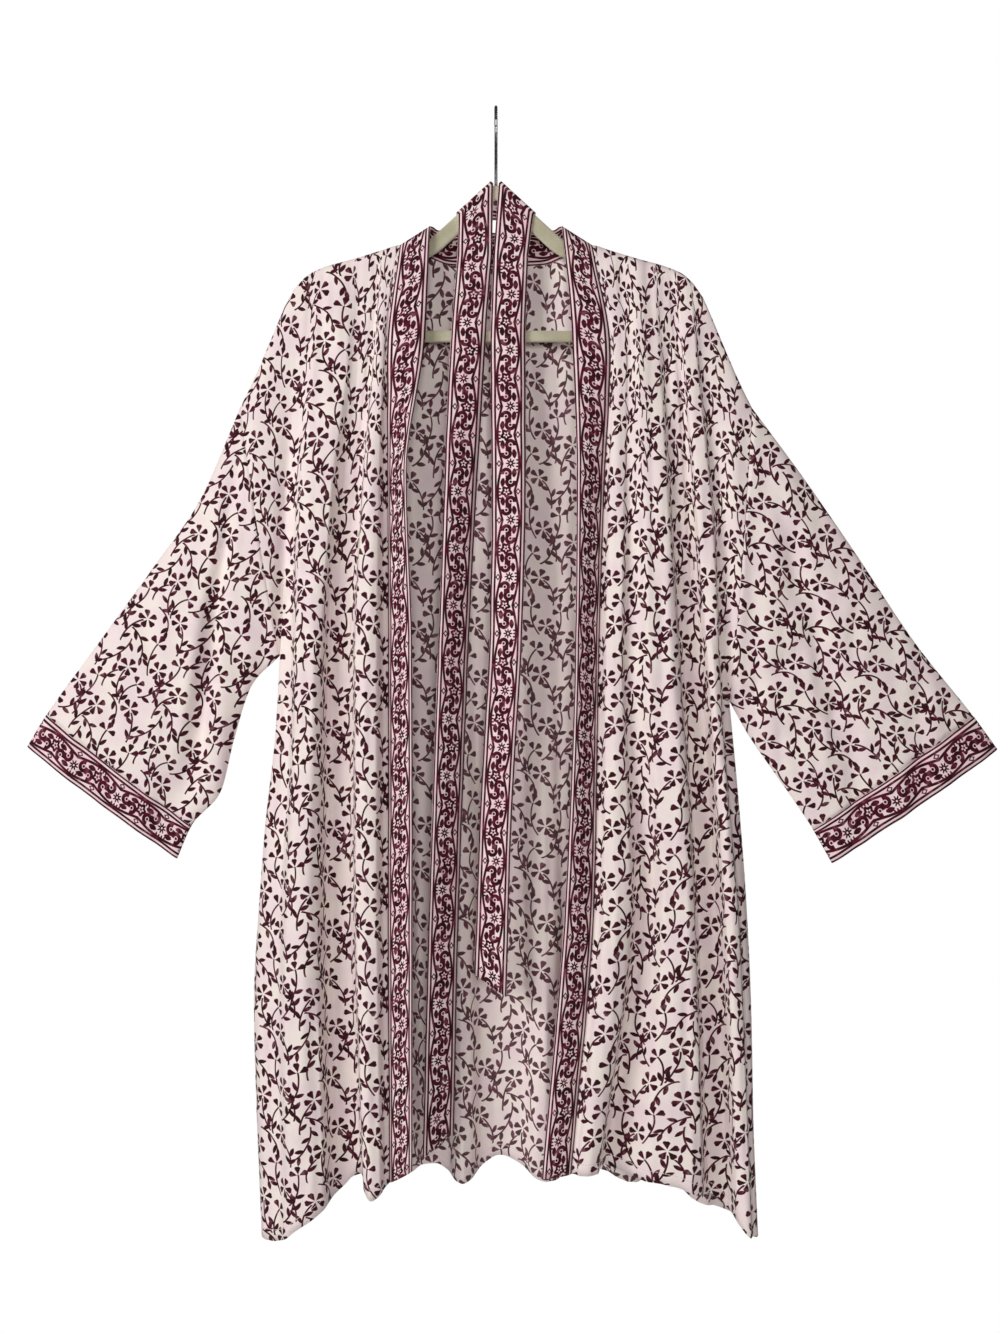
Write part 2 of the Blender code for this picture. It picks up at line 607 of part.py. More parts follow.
def fall_sections(side, falls):
    """Belt sections (inner point, outer point) from a free end up over the arm to the middle."""
    sections = []
    end = falls[-1].z
    for step in range(FALL_SECTIONS):
        z = mix(end, falls[0].z, step / (FALL_SECTIONS - 1))
        x = column(falls, "z", "x", z)
        y = column(falls, "z", "y", z)
        turn = radians(column(falls, "z", "turn", z))
        reach = Vector((cos(turn), sin(turn), 0)) * (BELT_WIDTH / 2)
        centre = Vector((x, y, z))
        slant = Vector((0, 0, BELT_END_SLANT / 2 if step == 0 else 0))
        sections.append((centre - reach * side + slant, centre + reach * side - slant))
    slope = HANGER_NECK_SLOPE
    along = Vector((side * cos(slope), 0, -sin(slope)))
    lift = Vector((side * sin(slope), 0, cos(slope)))
    neck = Vector((0, 0, HANGER_NECK_TOP - HANGER_NECK_RADIUS))
    axis = neck + lift * (HANGER_NECK_RADIUS - HANGER_HALF_THICKNESS)
    radius = HANGER_HALF_THICKNESS + SEAM_GAP + DOUBLE_WALL / 2
    first_inner, first_outer = sections[-1]

    def on_axis(x):
        return axis + along * ((x - axis.x) / along.x)

    fold_inner = on_axis(side * 0.0045)
    fold_outer = on_axis(side * (0.0045 + BELT_WIDTH))
    front = Vector((0, -radius, 0))
    for step in range(1, 5):
        share = step / 5
        sections.append((first_inner.lerp(fold_inner + front, share),
                         first_outer.lerp(fold_outer + front, share)))
    for step in range(9):
        angle = pi * step / 8
        bend = Vector((0, -radius * cos(angle), 0)) + lift * (radius * sin(angle))
        sections.append((fold_inner + bend, fold_outer + bend))
    rear = Vector((0, radius, 0))
    back_top = Vector((0, radius, fold_inner.z))
    back_low = Vector((0, radius, fold_inner.z - BELT_WIDTH))
    for share in (0.5, 1.0):
        sections.append(((fold_inner + rear).lerp(back_top, share),
                         (fold_outer + rear).lerp(back_low, share)))
    return sections


# The belt: one strip from the left end, behind the stem of the hook, to the right end, in three
# stretches: the two falls and the loop that lies over the hanger.
left_part = fall_sections(-1, LEFT_FALL)
right_part = fall_sections(1, RIGHT_FALL)
strip = left_part[:-1] + right_part[::-1]
rows = [[inner.lerp(outer, q / 2) for q in range(3)] for inner, outer in strip]
normals = normals_of(rows, False)
left_end = FALL_SECTIONS - 1
right_end = len(rows) - FALL_SECTIONS
loop_rows = rows[left_end:right_end + 1]
loop_normals = normals[left_end:right_end + 1]
for end, following in ((0, 1), (-1, -2)):
    loop_rows[end] = [aside(p, q, n) for p, q, n in
                      zip(loop_rows[end], loop_rows[following], loop_normals[end])]
for name, stretch, turned in (
    ("belt_left", rows[:FALL_SECTIONS], normals[:FALL_SECTIONS]),
    ("belt_loop", loop_rows, loop_normals),
    ("belt_right", rows[right_end:], normals[right_end:]),
):
    wall(name, stretch, turned, DOUBLE_WALL / 2, DOUBLE_WALL / 2, BORDER_COLOUR)
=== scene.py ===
from collections import namedtuple
from math import atan2, cos, hypot, pi, radians, sin, sqrt

import bpy
from mathutils import Matrix, Vector, noise


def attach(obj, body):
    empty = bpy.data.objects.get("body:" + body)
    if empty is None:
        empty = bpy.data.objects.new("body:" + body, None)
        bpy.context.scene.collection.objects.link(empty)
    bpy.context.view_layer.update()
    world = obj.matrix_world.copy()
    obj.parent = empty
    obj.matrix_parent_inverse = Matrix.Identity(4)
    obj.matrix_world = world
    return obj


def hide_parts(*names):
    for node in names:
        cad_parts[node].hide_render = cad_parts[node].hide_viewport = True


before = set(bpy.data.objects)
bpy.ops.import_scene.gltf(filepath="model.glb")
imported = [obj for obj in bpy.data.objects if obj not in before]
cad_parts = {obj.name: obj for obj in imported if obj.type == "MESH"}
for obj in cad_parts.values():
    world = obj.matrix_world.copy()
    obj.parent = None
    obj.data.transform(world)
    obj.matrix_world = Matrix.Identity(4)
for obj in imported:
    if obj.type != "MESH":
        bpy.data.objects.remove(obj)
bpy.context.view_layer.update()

bpy.ops.object.select_all(action="DESELECT")


# The hanger is a slim moulded frame with a short velvety flock all over, pale khaki.
# Its hook is a bright steel wire that is set in the neck of the frame.
class Shade:
    """A shader socket that takes part in sums, products and comparisons."""

    def __init__(self, tree, socket=None):
        self.tree = tree
        self.socket = socket

    def node(self, kind, settings=None, values=None, output=0):
        """A new node of that type: its settings are set first and then its sockets."""
        made = self.tree.nodes.new(kind)
        for name, value in (settings or {}).items():
            setattr(made, name, value)
        for key, value in (values or {}).items():
            if isinstance(value, Shade):
                self.tree.links.new(value.socket, made.inputs[key])
            else:
                made.inputs[key].default_value = value
        return Shade(self.tree, made.outputs[output])

    def math(self, operation, *others):
        return self.node("ShaderNodeMath", {"operation": operation},
                         dict(enumerate((self, *others))))

    def vector(self, operation, *others, output=0):
        return self.node("ShaderNodeVectorMath", {"operation": operation},
                         dict(enumerate((self, *others))), output)

    def parts(self):
        """The first two parts of this vector."""
        first = self.node("ShaderNodeSeparateXYZ", {}, {0: self})
        return first, Shade(self.tree, first.socket.node.outputs[1])

    def __add__(self, other):
        return self.math("ADD", other)

    def __radd__(self, other):
        return self.math("ADD", other)

    def __sub__(self, other):
        return self.math("SUBTRACT", other)

    def __rsub__(self, other):
        return self.math("MULTIPLY_ADD", -1.0, other)

    def __mul__(self, other):
        return self.math("MULTIPLY", other)

    def __rmul__(self, other):
        return self.math("MULTIPLY", other)

    def __lt__(self, other):
        return self.math("LESS_THAN", other)

    def __abs__(self):
        return self.math("ABSOLUTE")

    def most(self, other):
        return self.math("MAXIMUM", other)

    def least(self, other):
        return self.math("MINIMUM", other)

    def span(self, low, high, to_low=0.0, to_high=1.0):
        """This value carried smoothly from one range to another, and held at its ends."""
        return self.node("ShaderNodeMapRange", {"interpolation_type": "SMOOTHSTEP"},
                         {0: self, 1: low, 2: high, 3: to_low, 4: to_high})

    def within(self, reach, soft):
        """1 where this value is under a reach and 0 where it is over, with a soft edge."""
        return self.span(reach + soft, reach - soft)

    def noise(self, scale, detail=2.0):
        return self.node("ShaderNodeTexNoise", {},
                         {"Vector": self, "Scale": scale, "Detail": detail})

    def blend(self, first, second):
        """A colour between two, by this value."""
        return self.node("ShaderNodeMix", {"data_type": "RGBA"}, {0: self, 6: first, 7: second}, 2)


def linear(red, green, blue):
    """A colour as a screen shows it, from 0 to 255, as the renderer's own values."""
    shown = [c / 255 for c in (red, green, blue)]
    return (*[c / 12.92 if c <= 0.04045 else ((c + 0.055) / 1.055) ** 2.4 for c in shown], 1.0)


def finish(name, roughness):
    """A new material: itself, its Principled shader and the start of its expressions."""
    material = bpy.data.materials.new(name)
    material.use_nodes = True
    shader = material.node_tree.nodes["Principled BSDF"]
    shader.inputs["Roughness"].default_value = roughness
    return material, shader, Shade(material.node_tree)


def flock_finish():
    material, shader, shade = finish("khaki_flock", 0.92)
    place = shade.node("ShaderNodeTexCoord", output=3)
    nap = place.noise(900.0, 3.0)
    patches = place.noise(35.0)
    colour = (patches * 0.6 + nap * 0.4).span(0.3, 0.7).blend(
        linear(172, 165, 138), linear(198, 191, 166))
    bump = shade.node("ShaderNodeBump", {}, {"Strength": 0.5, "Distance": 0.0004, "Height": nap})
    shade.tree.links.new(colour.socket, shader.inputs["Base Color"])
    shade.tree.links.new(bump.socket, shader.inputs["Normal"])
    shader.inputs["Sheen Weight"].default_value = 0.5
    shader.inputs["Sheen Roughness"].default_value = 0.5
    return material


def steel_finish():
    material, shader, shade = finish("hook_steel", 0.25)
    shader.inputs["Metallic"].default_value = 1.0
    shader.inputs["Base Color"].default_value = linear(150, 150, 153)
    place = shade.node("ShaderNodeTexCoord", output=3)
    rough = place.noise(400.0, 3.0).span(0.3, 0.7, 0.26, 0.38)
    shade.tree.links.new(rough.socket, shader.inputs["Roughness"])
    return material


for node, material, slot in (("hanger_frame", flock_finish(), "hanger_flock"),
                             ("hanger_hook", steel_finish(), "hook_steel")):
    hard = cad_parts[node]
    hard.data.materials.clear()
    hard.data.materials.append(material)
    hard.data.shade_smooth()


# The back is one width of thin hand-printed cotton from shoulder to hem, in deep soft folds.
# A sprig with five-petalled flowers covers the pale cloth, printed a little unevenly by hand.
MM = 0.001
SEAM_GAP = 0.0003
SHOULDER_ROLL = 0.009
COLLAR_HALF = 0.105
COLLAR_TURN = 0.020
ARMHOLE_X = 0.281
ARMHOLE_Z = -0.327
ARMHOLE_OUT = 0.016
LEVELS = (0.0, 0.12, 0.27, 0.45, 0.70, 1.0)
ARMHOLE_STEPS = 48
SKIRT_STEPS = 62
ARMHOLE_ROWS = [(1 - cos(pi * k / ARMHOLE_STEPS)) / 2 for k in range(ARMHOLE_STEPS + 1)]
SKIRT_ROWS = [(k + 1) / SKIRT_STEPS for k in range(SKIRT_STEPS)]
EDGE_PARTS = 10
FOLD_PARTS = 20
RIDGE_ROUND = 1.8
WALL_START = 0.50
WALL_WIDE = 0.30
WALL_PART = 0.50
UNDERARM_TURN = 0.25
SKIRT_THREAD = 0.3
Edge = namedtuple("Edge", "drop x z out below")
Fold = namedtuple("Fold", "name x out")
BACK = (
    Fold("left roll", x=(-222, -224, -226, -226, -230, -234), out=(7, 14, 20, 24, 28, 32)),
    Fold("left valley", x=(-190, -190, -190, -188, -186, -182), out=(7, 12, 15, 14, 13, 12)),
    Fold("left pleat", x=(-150, -150, -150, -148, -146, -140), out=(7, 15, 22, 28, 34, 40)),
    Fold("left collar", x=(-105, -112, -112, -110, -104, -100), out=(7, 13, 16, 17, 15, 12)),
    Fold("left neck", x=(-75, -76, -76, -74, -72, -69), out=(16, 20, 24, 28, 32, 34)),
    Fold("inner ridge", x=(-40, -42, -43, -42, -40, -37), out=(21, 22, 22, 20, 14, 8)),
    Fold("middle", x=(0, -1, -2, -1, 1, 4), out=(23, 25, 26, 29, 34, 40)),
    Fold("right ridge", x=(40, 44, 46, 50, 54, 56), out=(21, 21, 21, 20, 17, 13)),
    Fold("right neck", x=(75, 84, 88, 92, 98, 102), out=(16, 20, 24, 28, 34, 40)),
    Fold("right collar", x=(105, 118, 122, 128, 137, 146), out=(7, 13, 16, 16, 14, 12)),
    Fold("right pleat", x=(150, 158, 164, 172, 182, 192), out=(7, 15, 22, 28, 36, 42)),
    Fold("right valley", x=(188, 194, 198, 206, 214, 226), out=(7, 12, 15, 16, 14, 12)),
    Fold("right roll", x=(222, 227, 232, 238, 251, 264), out=(7, 14, 20, 24, 28, 32)),
)
Top = namedtuple("Top", "x z")
SHOULDER = (
    Top(0.000, -0.1670), Top(0.050, -0.1650), Top(0.080, -0.1560), Top(0.095, -0.1495),
    Top(0.105, -0.1490), Top(0.125, -0.1545), Top(0.155, -0.1637), Top(0.185, -0.1720),
    Top(0.203, -0.1795), Top(0.217, -0.1915), Top(0.2266, -0.205), Top(0.2415, -0.239),
    Top(0.2655, -0.295), Top(ARMHOLE_X, ARMHOLE_Z),
)
Side = namedtuple("Side", "z x")
LEFT_SIDE = (
    Side(-0.600, 0.2375), Side(-0.692, 0.243), Side(-0.784, 0.2535), Side(-0.869, 0.260),
    Side(-0.979, 0.266), Side(-1.100, 0.263), Side(-1.232, 0.257),
)
RIGHT_SIDE = (
    Side(-0.650, 0.2565), Side(-0.774, 0.268), Side(-0.869, 0.275), Side(-0.979, 0.280),
    Side(-1.126, 0.283), Side(-1.234, 0.2875),
)
Hem = namedtuple("Hem", "x z")
BACK_HEM = (
    Hem(-0.257, -1.232), Hem(-0.234, -1.222), Hem(-0.182, -1.192), Hem(-0.100, -1.174),
    Hem(-0.069, -1.170), Hem(-0.037, -1.184), Hem(0.004, -1.163), Hem(0.056, -1.184),
    Hem(0.102, -1.178), Hem(0.192, -1.194), Hem(0.264, -1.224), Hem(0.2875, -1.234),
)


def mix(a, b, share):
    return a + (b - a) * share


def quarter(share):
    """Height of a quarter round, from nothing at 0 to full at 1."""
    share = min(1.0, max(0.0, share))
    return sqrt(1 - (1 - share) ** 2)


def ease(share):
    share = min(1.0, max(0.0, share))
    return share * share * (3 - 2 * share)


def wave(share):
    return (1 - cos(pi * share)) / 2


def fold_fall(share):
    """How far the side of a fold has fallen: off a round ridge, down a steep wall, to a floor."""
    return mix(share ** RIDGE_ROUND, ease((share - WALL_START) / WALL_WIDE), WALL_PART)


def lens(share):
    """Height of a flat oval, from one end at 0 to the other at 1."""
    return sqrt(max(0.0, 4 * share * (1 - share)))


def smooth(places, values, at):
    """Value at one place on the smooth line through all the stated ones, with no overshoot."""
    if places[0] > places[-1]:
        places = places[::-1]
        values = values[::-1]
    at = min(places[-1], max(places[0], at))
    k = 0
    while k < len(places) - 2 and at > places[k + 1]:
        k += 1

    def rise(i):
        return (values[i + 1] - values[i]) / (places[i + 1] - places[i])

    def slope(i):
        if i == 0:
            return rise(0)
        if i == len(places) - 1:
            return rise(i - 1)
        before, after = rise(i - 1), rise(i)
        return 0.0 if before * after <= 0 else 2 * before * after / (before + after)

    h = places[k + 1] - places[k]
    t = (at - places[k]) / h
    return ((1 + 2 * t) * (1 - t) ** 2 * values[k] + t * (1 - t) ** 2 * h * slope(k)
            + t * t * (3 - 2 * t) * values[k + 1] + t * t * (t - 1) * h * slope(k + 1))


def column(rows, key, name, at):
    return smooth([getattr(r, key) for r in rows], [getattr(r, name) for r in rows], at)


def fold_x(fold, drop):
    return smooth(LEVELS, fold.x, drop) * MM


def fold_out(fold, drop):
    return smooth(LEVELS, fold.out, drop) * MM


def shoulder_z(x):
    return column(SHOULDER, "x", "z", abs(x))


def side_edge(side_rows, hem_z):
    """Rows of a panel's outer edge, down the armhole and then down the side seam."""
    under = side_rows[0]
    under_drop = (under.z - ARMHOLE_Z) / (hem_z - ARMHOLE_Z)
    edge = []
    for share in ARMHOLE_ROWS:
        edge.append(Edge(drop=share * under_drop, x=mix(ARMHOLE_X, under.x, share),
                         z=mix(ARMHOLE_Z, under.z, share), out=ARMHOLE_OUT * lens(share),
                         below=ease(1 - (1 - share) / UNDERARM_TURN)))
    for share in SKIRT_ROWS:
        z = mix(under.z, hem_z, share)
        edge.append(Edge(drop=mix(under_drop, 1.0, share), x=column(side_rows, "z", "x", z),
                         z=z, out=0.0, below=1.0))
    return edge


def edge_stretch(edge, fold, side_hem, fold_hem):
    """Points from a panel's outer edge to its first fold, rolled over as a quarter round."""
    points = [(edge.x, edge.out, edge.z)]
    for k in range(1, EDGE_PARTS):
        turn = pi / 2 * k / EDGE_PARTS
        share = 1 - cos(turn)
        top = shoulder_z(mix(ARMHOLE_X, fold_x(fold, 0.0), share))
        z = mix(top, mix(side_hem, fold_hem, share), edge.drop)
        roll = quarter(edge.drop * (top - fold_hem) / SHOULDER_ROLL)
        rise = mix(wave(share), sin(turn), edge.below)
        points.append((mix(edge.x, fold_x(fold, edge.drop), share),
                       mix(edge.out, fold_out(fold, edge.drop) * roll, rise), z))
    return points


def fold_point(a, b, share, drop, hem_rows, rolled=1.0):
    """One point between two fold lines, from a round ridge to a deep crease."""
    top_x = mix(fold_x(a, 0.0), fold_x(b, 0.0), share)
    hem_x = mix(fold_x(a, 1.0), fold_x(b, 1.0), share)
    top = shoulder_z(top_x)
    z = mix(top, column(hem_rows, "x", "z", hem_x), drop)
    roll = mix(1.0, quarter((top - z) / SHOULDER_ROLL), rolled)
    high, low = fold_out(a, drop), fold_out(b, drop)
    fallen = fold_fall(share) if high > low else 1 - fold_fall(1 - share)
    return mix(fold_x(a, drop), fold_x(b, drop), share), mix(high, low, fallen) * roll, z


def back_grid():
    """Rows of the back, from its left edge to its right one."""
    mirrored = Fold("left roll", tuple(-x for x in BACK[0].x), BACK[0].out)
    left_hem = column(BACK_HEM, "x", "z", fold_x(BACK[0], 1.0))
    right_hem = column(BACK_HEM, "x", "z", fold_x(BACK[-1], 1.0))
    rows = []
    for left, right in zip(side_edge(LEFT_SIDE, BACK_HEM[0].z),
                           side_edge(RIGHT_SIDE, BACK_HEM[-1].z)):
        points = [(-x, out, z) for x, out, z in
                  edge_stretch(left, mirrored, BACK_HEM[0].z, left_hem)]
        for n, (a, b) in enumerate(zip(BACK, BACK[1:])):
            last = n == len(BACK) - 2
            for k in range(FOLD_PARTS + last):
                share = k / FOLD_PARTS
                top_x = mix(fold_x(a, 0.0), fold_x(b, 0.0), share)
                drop = mix(left.drop, right.drop, (top_x + ARMHOLE_X) / (2 * ARMHOLE_X))
                rolled = 1 - ease((COLLAR_HALF - abs(top_x)) / COLLAR_TURN)
                points.append(fold_point(a, b, share, drop, BACK_HEM, rolled))
        points += edge_stretch(right, BACK[-1], BACK_HEM[-1].z, right_hem)[::-1]
        rows.append([Vector((x, out + SEAM_GAP / 2, z)) for x, out, z in points])
    return rows


# Soft troughs in the cloth that hangs on each side of the shoulder line: the ends of each,
# its half width and its depth, in millimetres. Negative depths are ridges.
Crease = namedtuple("Crease", "x z to_x to_z half depth")
BACK_CREASES = (
    Crease(-205, -200, -150, -420, 16, 2.5), Crease(-60, -260, -20, -620, 18, 2.5),
    Crease(130, -240, 90, -560, 16, 2.5), Crease(215, -260, 160, -520, 18, 3.0),
    Crease(-235, -590, -120, -500, 15, 3.0), Crease(-235, -640, -150, -700, 14, 2.5),
    Crease(250, -640, 130, -560, 15, 3.0), Crease(20, -700, 60, -1100, 17, 2.5),
    Crease(-120, -760, -150, -1120, 15, -2.5), Crease(160, -780, 200, -1100, 16, 2.0),
)
# Streaks, thin streaks and ripples all over the cloth: how close they lie across it and down
# it, the place in the noise that each is taken from, and their depth in millimetres.
Uneven = namedtuple("Uneven", "across down start depth")
UNEVEN = (Uneven(55, 6, 0, 3.0), Uneven(115, 9, 2, 1.0), Uneven(26, 20, 5, 1.4))
EDGE_FADE = 0.010


def dented(grid, creases, seed):
    """The grid with its creases pressed in and a fine unevenness, fading out at its edges."""
    moved = []
    for row in grid:
        line = []
        for p in row:
            depth = 0.0
            for c in creases:
                along_x, along_z = (c.to_x - c.x) * MM, (c.to_z - c.z) * MM
                far_x, far_z = p.x - c.x * MM, p.z - c.z * MM
                size = along_x ** 2 + along_z ** 2
                share = min(1.0, max(0.0, (far_x * along_x + far_z * along_z) / size))
                gap = hypot(far_x - along_x * share, far_z - along_z * share)
                taper = ease(4 * share) * ease(4 * (1 - share))
                depth += c.depth * MM * ease(1 - gap / (c.half * MM)) * taper
            for u in UNEVEN:
                spot = Vector((p.x * u.across, seed + u.start, p.z * u.down))
                depth += u.depth * MM * noise.noise(spot)
            depth *= ease(abs(p.y) / EDGE_FADE)
            line.append(Vector((p.x, p.y - depth if p.y > 0 else p.y + depth, p.z)))
        moved.append(line)
    return moved


def lengths(points):
    """How far along the line each of its points lies."""
    found = [0.0]
    for a, b in zip(points, points[1:]):
        found.append(found[-1] + (b - a).length)
    return found


def widths(points):
    """How far along the line each of its points lies, as measured level."""
    return lengths([Vector((p.x, p.y, 0)) for p in points])


def panel_cut(grid, first, last, middle):
    """Places on a flat panel, measured level from its middle column. Between the first fold and
    the last, threads keep to the folds above the underarm, and partly below, as the panel flares."""
    hip = widths(grid[ARMHOLE_STEPS])
    cut = []
    for i, row in enumerate(grid):
        run = widths(row)
        threads = 1.0 if i < ARMHOLE_STEPS else SKIRT_THREAD
        across = []
        for j, r in enumerate(run):
            thread = min(last, max(first, j))
            kept = hip[thread] - hip[middle] + r - run[thread]
            across.append(mix(r - run[middle], kept, threads))
        cut.append([(a, p.z) for a, p in zip(across, row)])
    return cut


def from_hem(grid):
    """How far each point is from the last row, down its column, and how far along that row."""
    along = lengths(grid[-1])
    downs = [lengths([row[j] for row in grid]) for j in range(len(grid[0]))]
    return [[(down[-1] - down[i], along[j]) for j, down in enumerate(downs)] for i in range(len(grid))]


def cloth(name, grid, cut, outside, inside, flip, hem=None, closed=False, thick=0.0007, offset=-1.0):
    """A thin shell on a grid of points; cut gives each point's place on the flat cloth."""
    wide = len(grid[0])
    faces = []
    spots = []
    for i in range(len(grid) - 1):
        for j in range(wide if closed else wide - 1):
            k = (j + 1) % wide
            corners = [(i, j, j), (i, k, j + 1), (i + 1, k, j + 1), (i + 1, j, j)]
            if flip:
                corners.reverse()
            faces.append([r * wide + c for r, c, _ in corners])
            spots += [(r, m) for r, _, m in corners]
    mesh = bpy.data.meshes.new(name)
    mesh.from_pydata([p for row in grid for p in row], [], faces)
    for layer, places in (("cut", cut), ("hem", hem)):
        if places:
            flat = [part for r, m in spots for part in places[r][m]]
            mesh.uv_layers.new(name=layer).data.foreach_set("uv", flat)
    mesh.shade_smooth()
    mesh.materials.append(outside)
    mesh.materials.append(inside)
    piece = bpy.data.objects.new(name, mesh)
    bpy.context.collection.objects.link(piece)
    body = piece.modifiers.new("cloth thickness", "SOLIDIFY")
    body.thickness = thick
    body.offset = offset
    body.material_offset = 1
    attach(piece, "root")
    return piece


# The sprig print in millimetres, on a tile that repeats with each column half a tile higher.
# A sprig is a bowed stem from its foot to its tip with leaves along it and a flower, a bud of
# three petals or a last leaf at the tip.
TILE_X = 64.0
TILE_Y = 96.0
Sprig = namedtuple("Sprig", "x y to_x to_y bow petals")
SPRIGS = (
    Sprig(3, -14, 12, 13, 0.22, 5), Sprig(58, 2, 48, 27, -0.22, 5), Sprig(30, 32, 22, 59, 0.22, 5),
    Sprig(62, 47, 54, 73, -0.26, 5), Sprig(43, -28, 36, 1, 0.22, 3), Sprig(-7, 14, 2, 42, -0.26, 3),
    Sprig(33, 30, 39, 53, 0.30, 3), Sprig(12, 88, -1, 58, 0.26, 0), Sprig(8, 98, 28, 80, 0.30, 0),
    Sprig(20, 33, 37, 16, 0.30, 0), Sprig(47, 44, 60, 62, -0.25, 0), Sprig(10, 36, 16, 56, 0.3, 0),
)
SPRIG_SCALE = 1.14
STEM_HALF = 0.78
LEAF_GAP = 6.4
LEAF_START = 0.4
LEAF_LONG = 9.4
LEAF_WIDE = 3.7
LEAF_LEAN = radians(40)
LEAF_CLEAR = 9.6
FULL_FLOWER = 5
FLOWER_REACH = 5.0
PETAL_TURN = 2 * pi / FULL_FLOWER
PETAL_FOOT = 1.0
PETAL_TIP = 9.6
PETAL_ROUND = 13.0
PETAL_FLARE = 0.45
PETAL_NOTCH = 4.0
NOTCH_TURN = 0.2
BUD_REACH = 8.0
LINE_SOFT = 0.20
LEAF_SOFT = 0.22
PETAL_SOFT = 0.25
# Middles of four wrapped views of the tile. A shape is drawn in the one that it lies well
# inside of, so that none is cut off at the edge of the tile.
QUADRANTS = ((14, 24), (14, 72), (46, 24), (46, 72))


def bowed(long, wide):
    """Radius of the two arcs that bound a leaf, and how far their centres lie from its line."""
    radius = (long ** 2 + wide ** 2) / (4 * wide)
    return radius, radius - wide / 2


def leaf_centres(x, y, turn, long, wide):
    """Centres of the two arcs of a leaf whose foot is at x, y."""
    _, off = bowed(long, wide)
    middle = (x + cos(turn) * long / 2, y + sin(turn) * long / 2)
    return [(middle[0] - sin(turn) * off * s, middle[1] + cos(turn) * off * s) for s in (-1, 1)]


class Stem:
    """The arc of a sprig's stem: its points, and the way it heads there as an angle."""

    def __init__(self, sprig):
        self.foot = Vector((sprig.x, sprig.y))
        span = Vector((sprig.to_x, sprig.to_y)) - self.foot
        self.chord = span.length
        self.middle = self.foot + span / 2
        self.swing = 2 * atan2(sprig.bow, 1)
        self.start = atan2(span.y, span.x) + self.swing
        self.radius = self.chord / (2 * sin(self.swing))
        self.centre = self.foot + Vector((sin(self.start), -cos(self.start))) * self.radius

    def heading(self, share):
        return self.start - 2 * self.swing * share

    def point(self, share):
        way = self.heading(share)
        return self.centre - Vector((sin(way), -cos(way))) * self.radius

    def flower(self, petals):
        """Middle of the flower or bud at the tip."""
        way = self.heading(1.0)
        reach = FLOWER_REACH if petals == FULL_FLOWER else 0.0
        return self.point(1.0) + Vector((cos(way), sin(way))) * reach


def tile_gap(a, b):
    """Distance between two spots of the tile or of its nearest repeats."""
    columns = round((a.x - b.x) / TILE_X)
    up = a.y - b.y + columns * TILE_Y / 2
    return hypot(a.x - b.x - columns * TILE_X, up - round(up / TILE_Y) * TILE_Y)


def far_from(place, spot):
    """Distance of a place from one spot of the print."""
    return place.vector("DISTANCE", (*spot, 0), output=1)


def petal_shape(spot, way, petals):
    """Distance outside the petals of a flower that heads one way, from its middle."""
    right, up = spot.parts()
    far = spot.vector("LENGTH", output=1)
    turn = up.math("ARCTAN2", right) - way
    aside = abs(turn.math("WRAP", PETAL_TURN / 2, -PETAL_TURN / 2))
    wedge = aside * far - (far - PETAL_FOOT) * PETAL_FLARE
    tip = far - PETAL_TIP + aside * aside * PETAL_ROUND
    tip = tip + ((NOTCH_TURN - aside) * PETAL_NOTCH).most(0.0)
    shape = wedge.most(tip)
    if petals < FULL_FLOWER:
        beyond = abs(turn.math("WRAP", pi, -pi)) - PETAL_TURN * petals / 2
        shape = shape.most(beyond * BUD_REACH)
    return shape


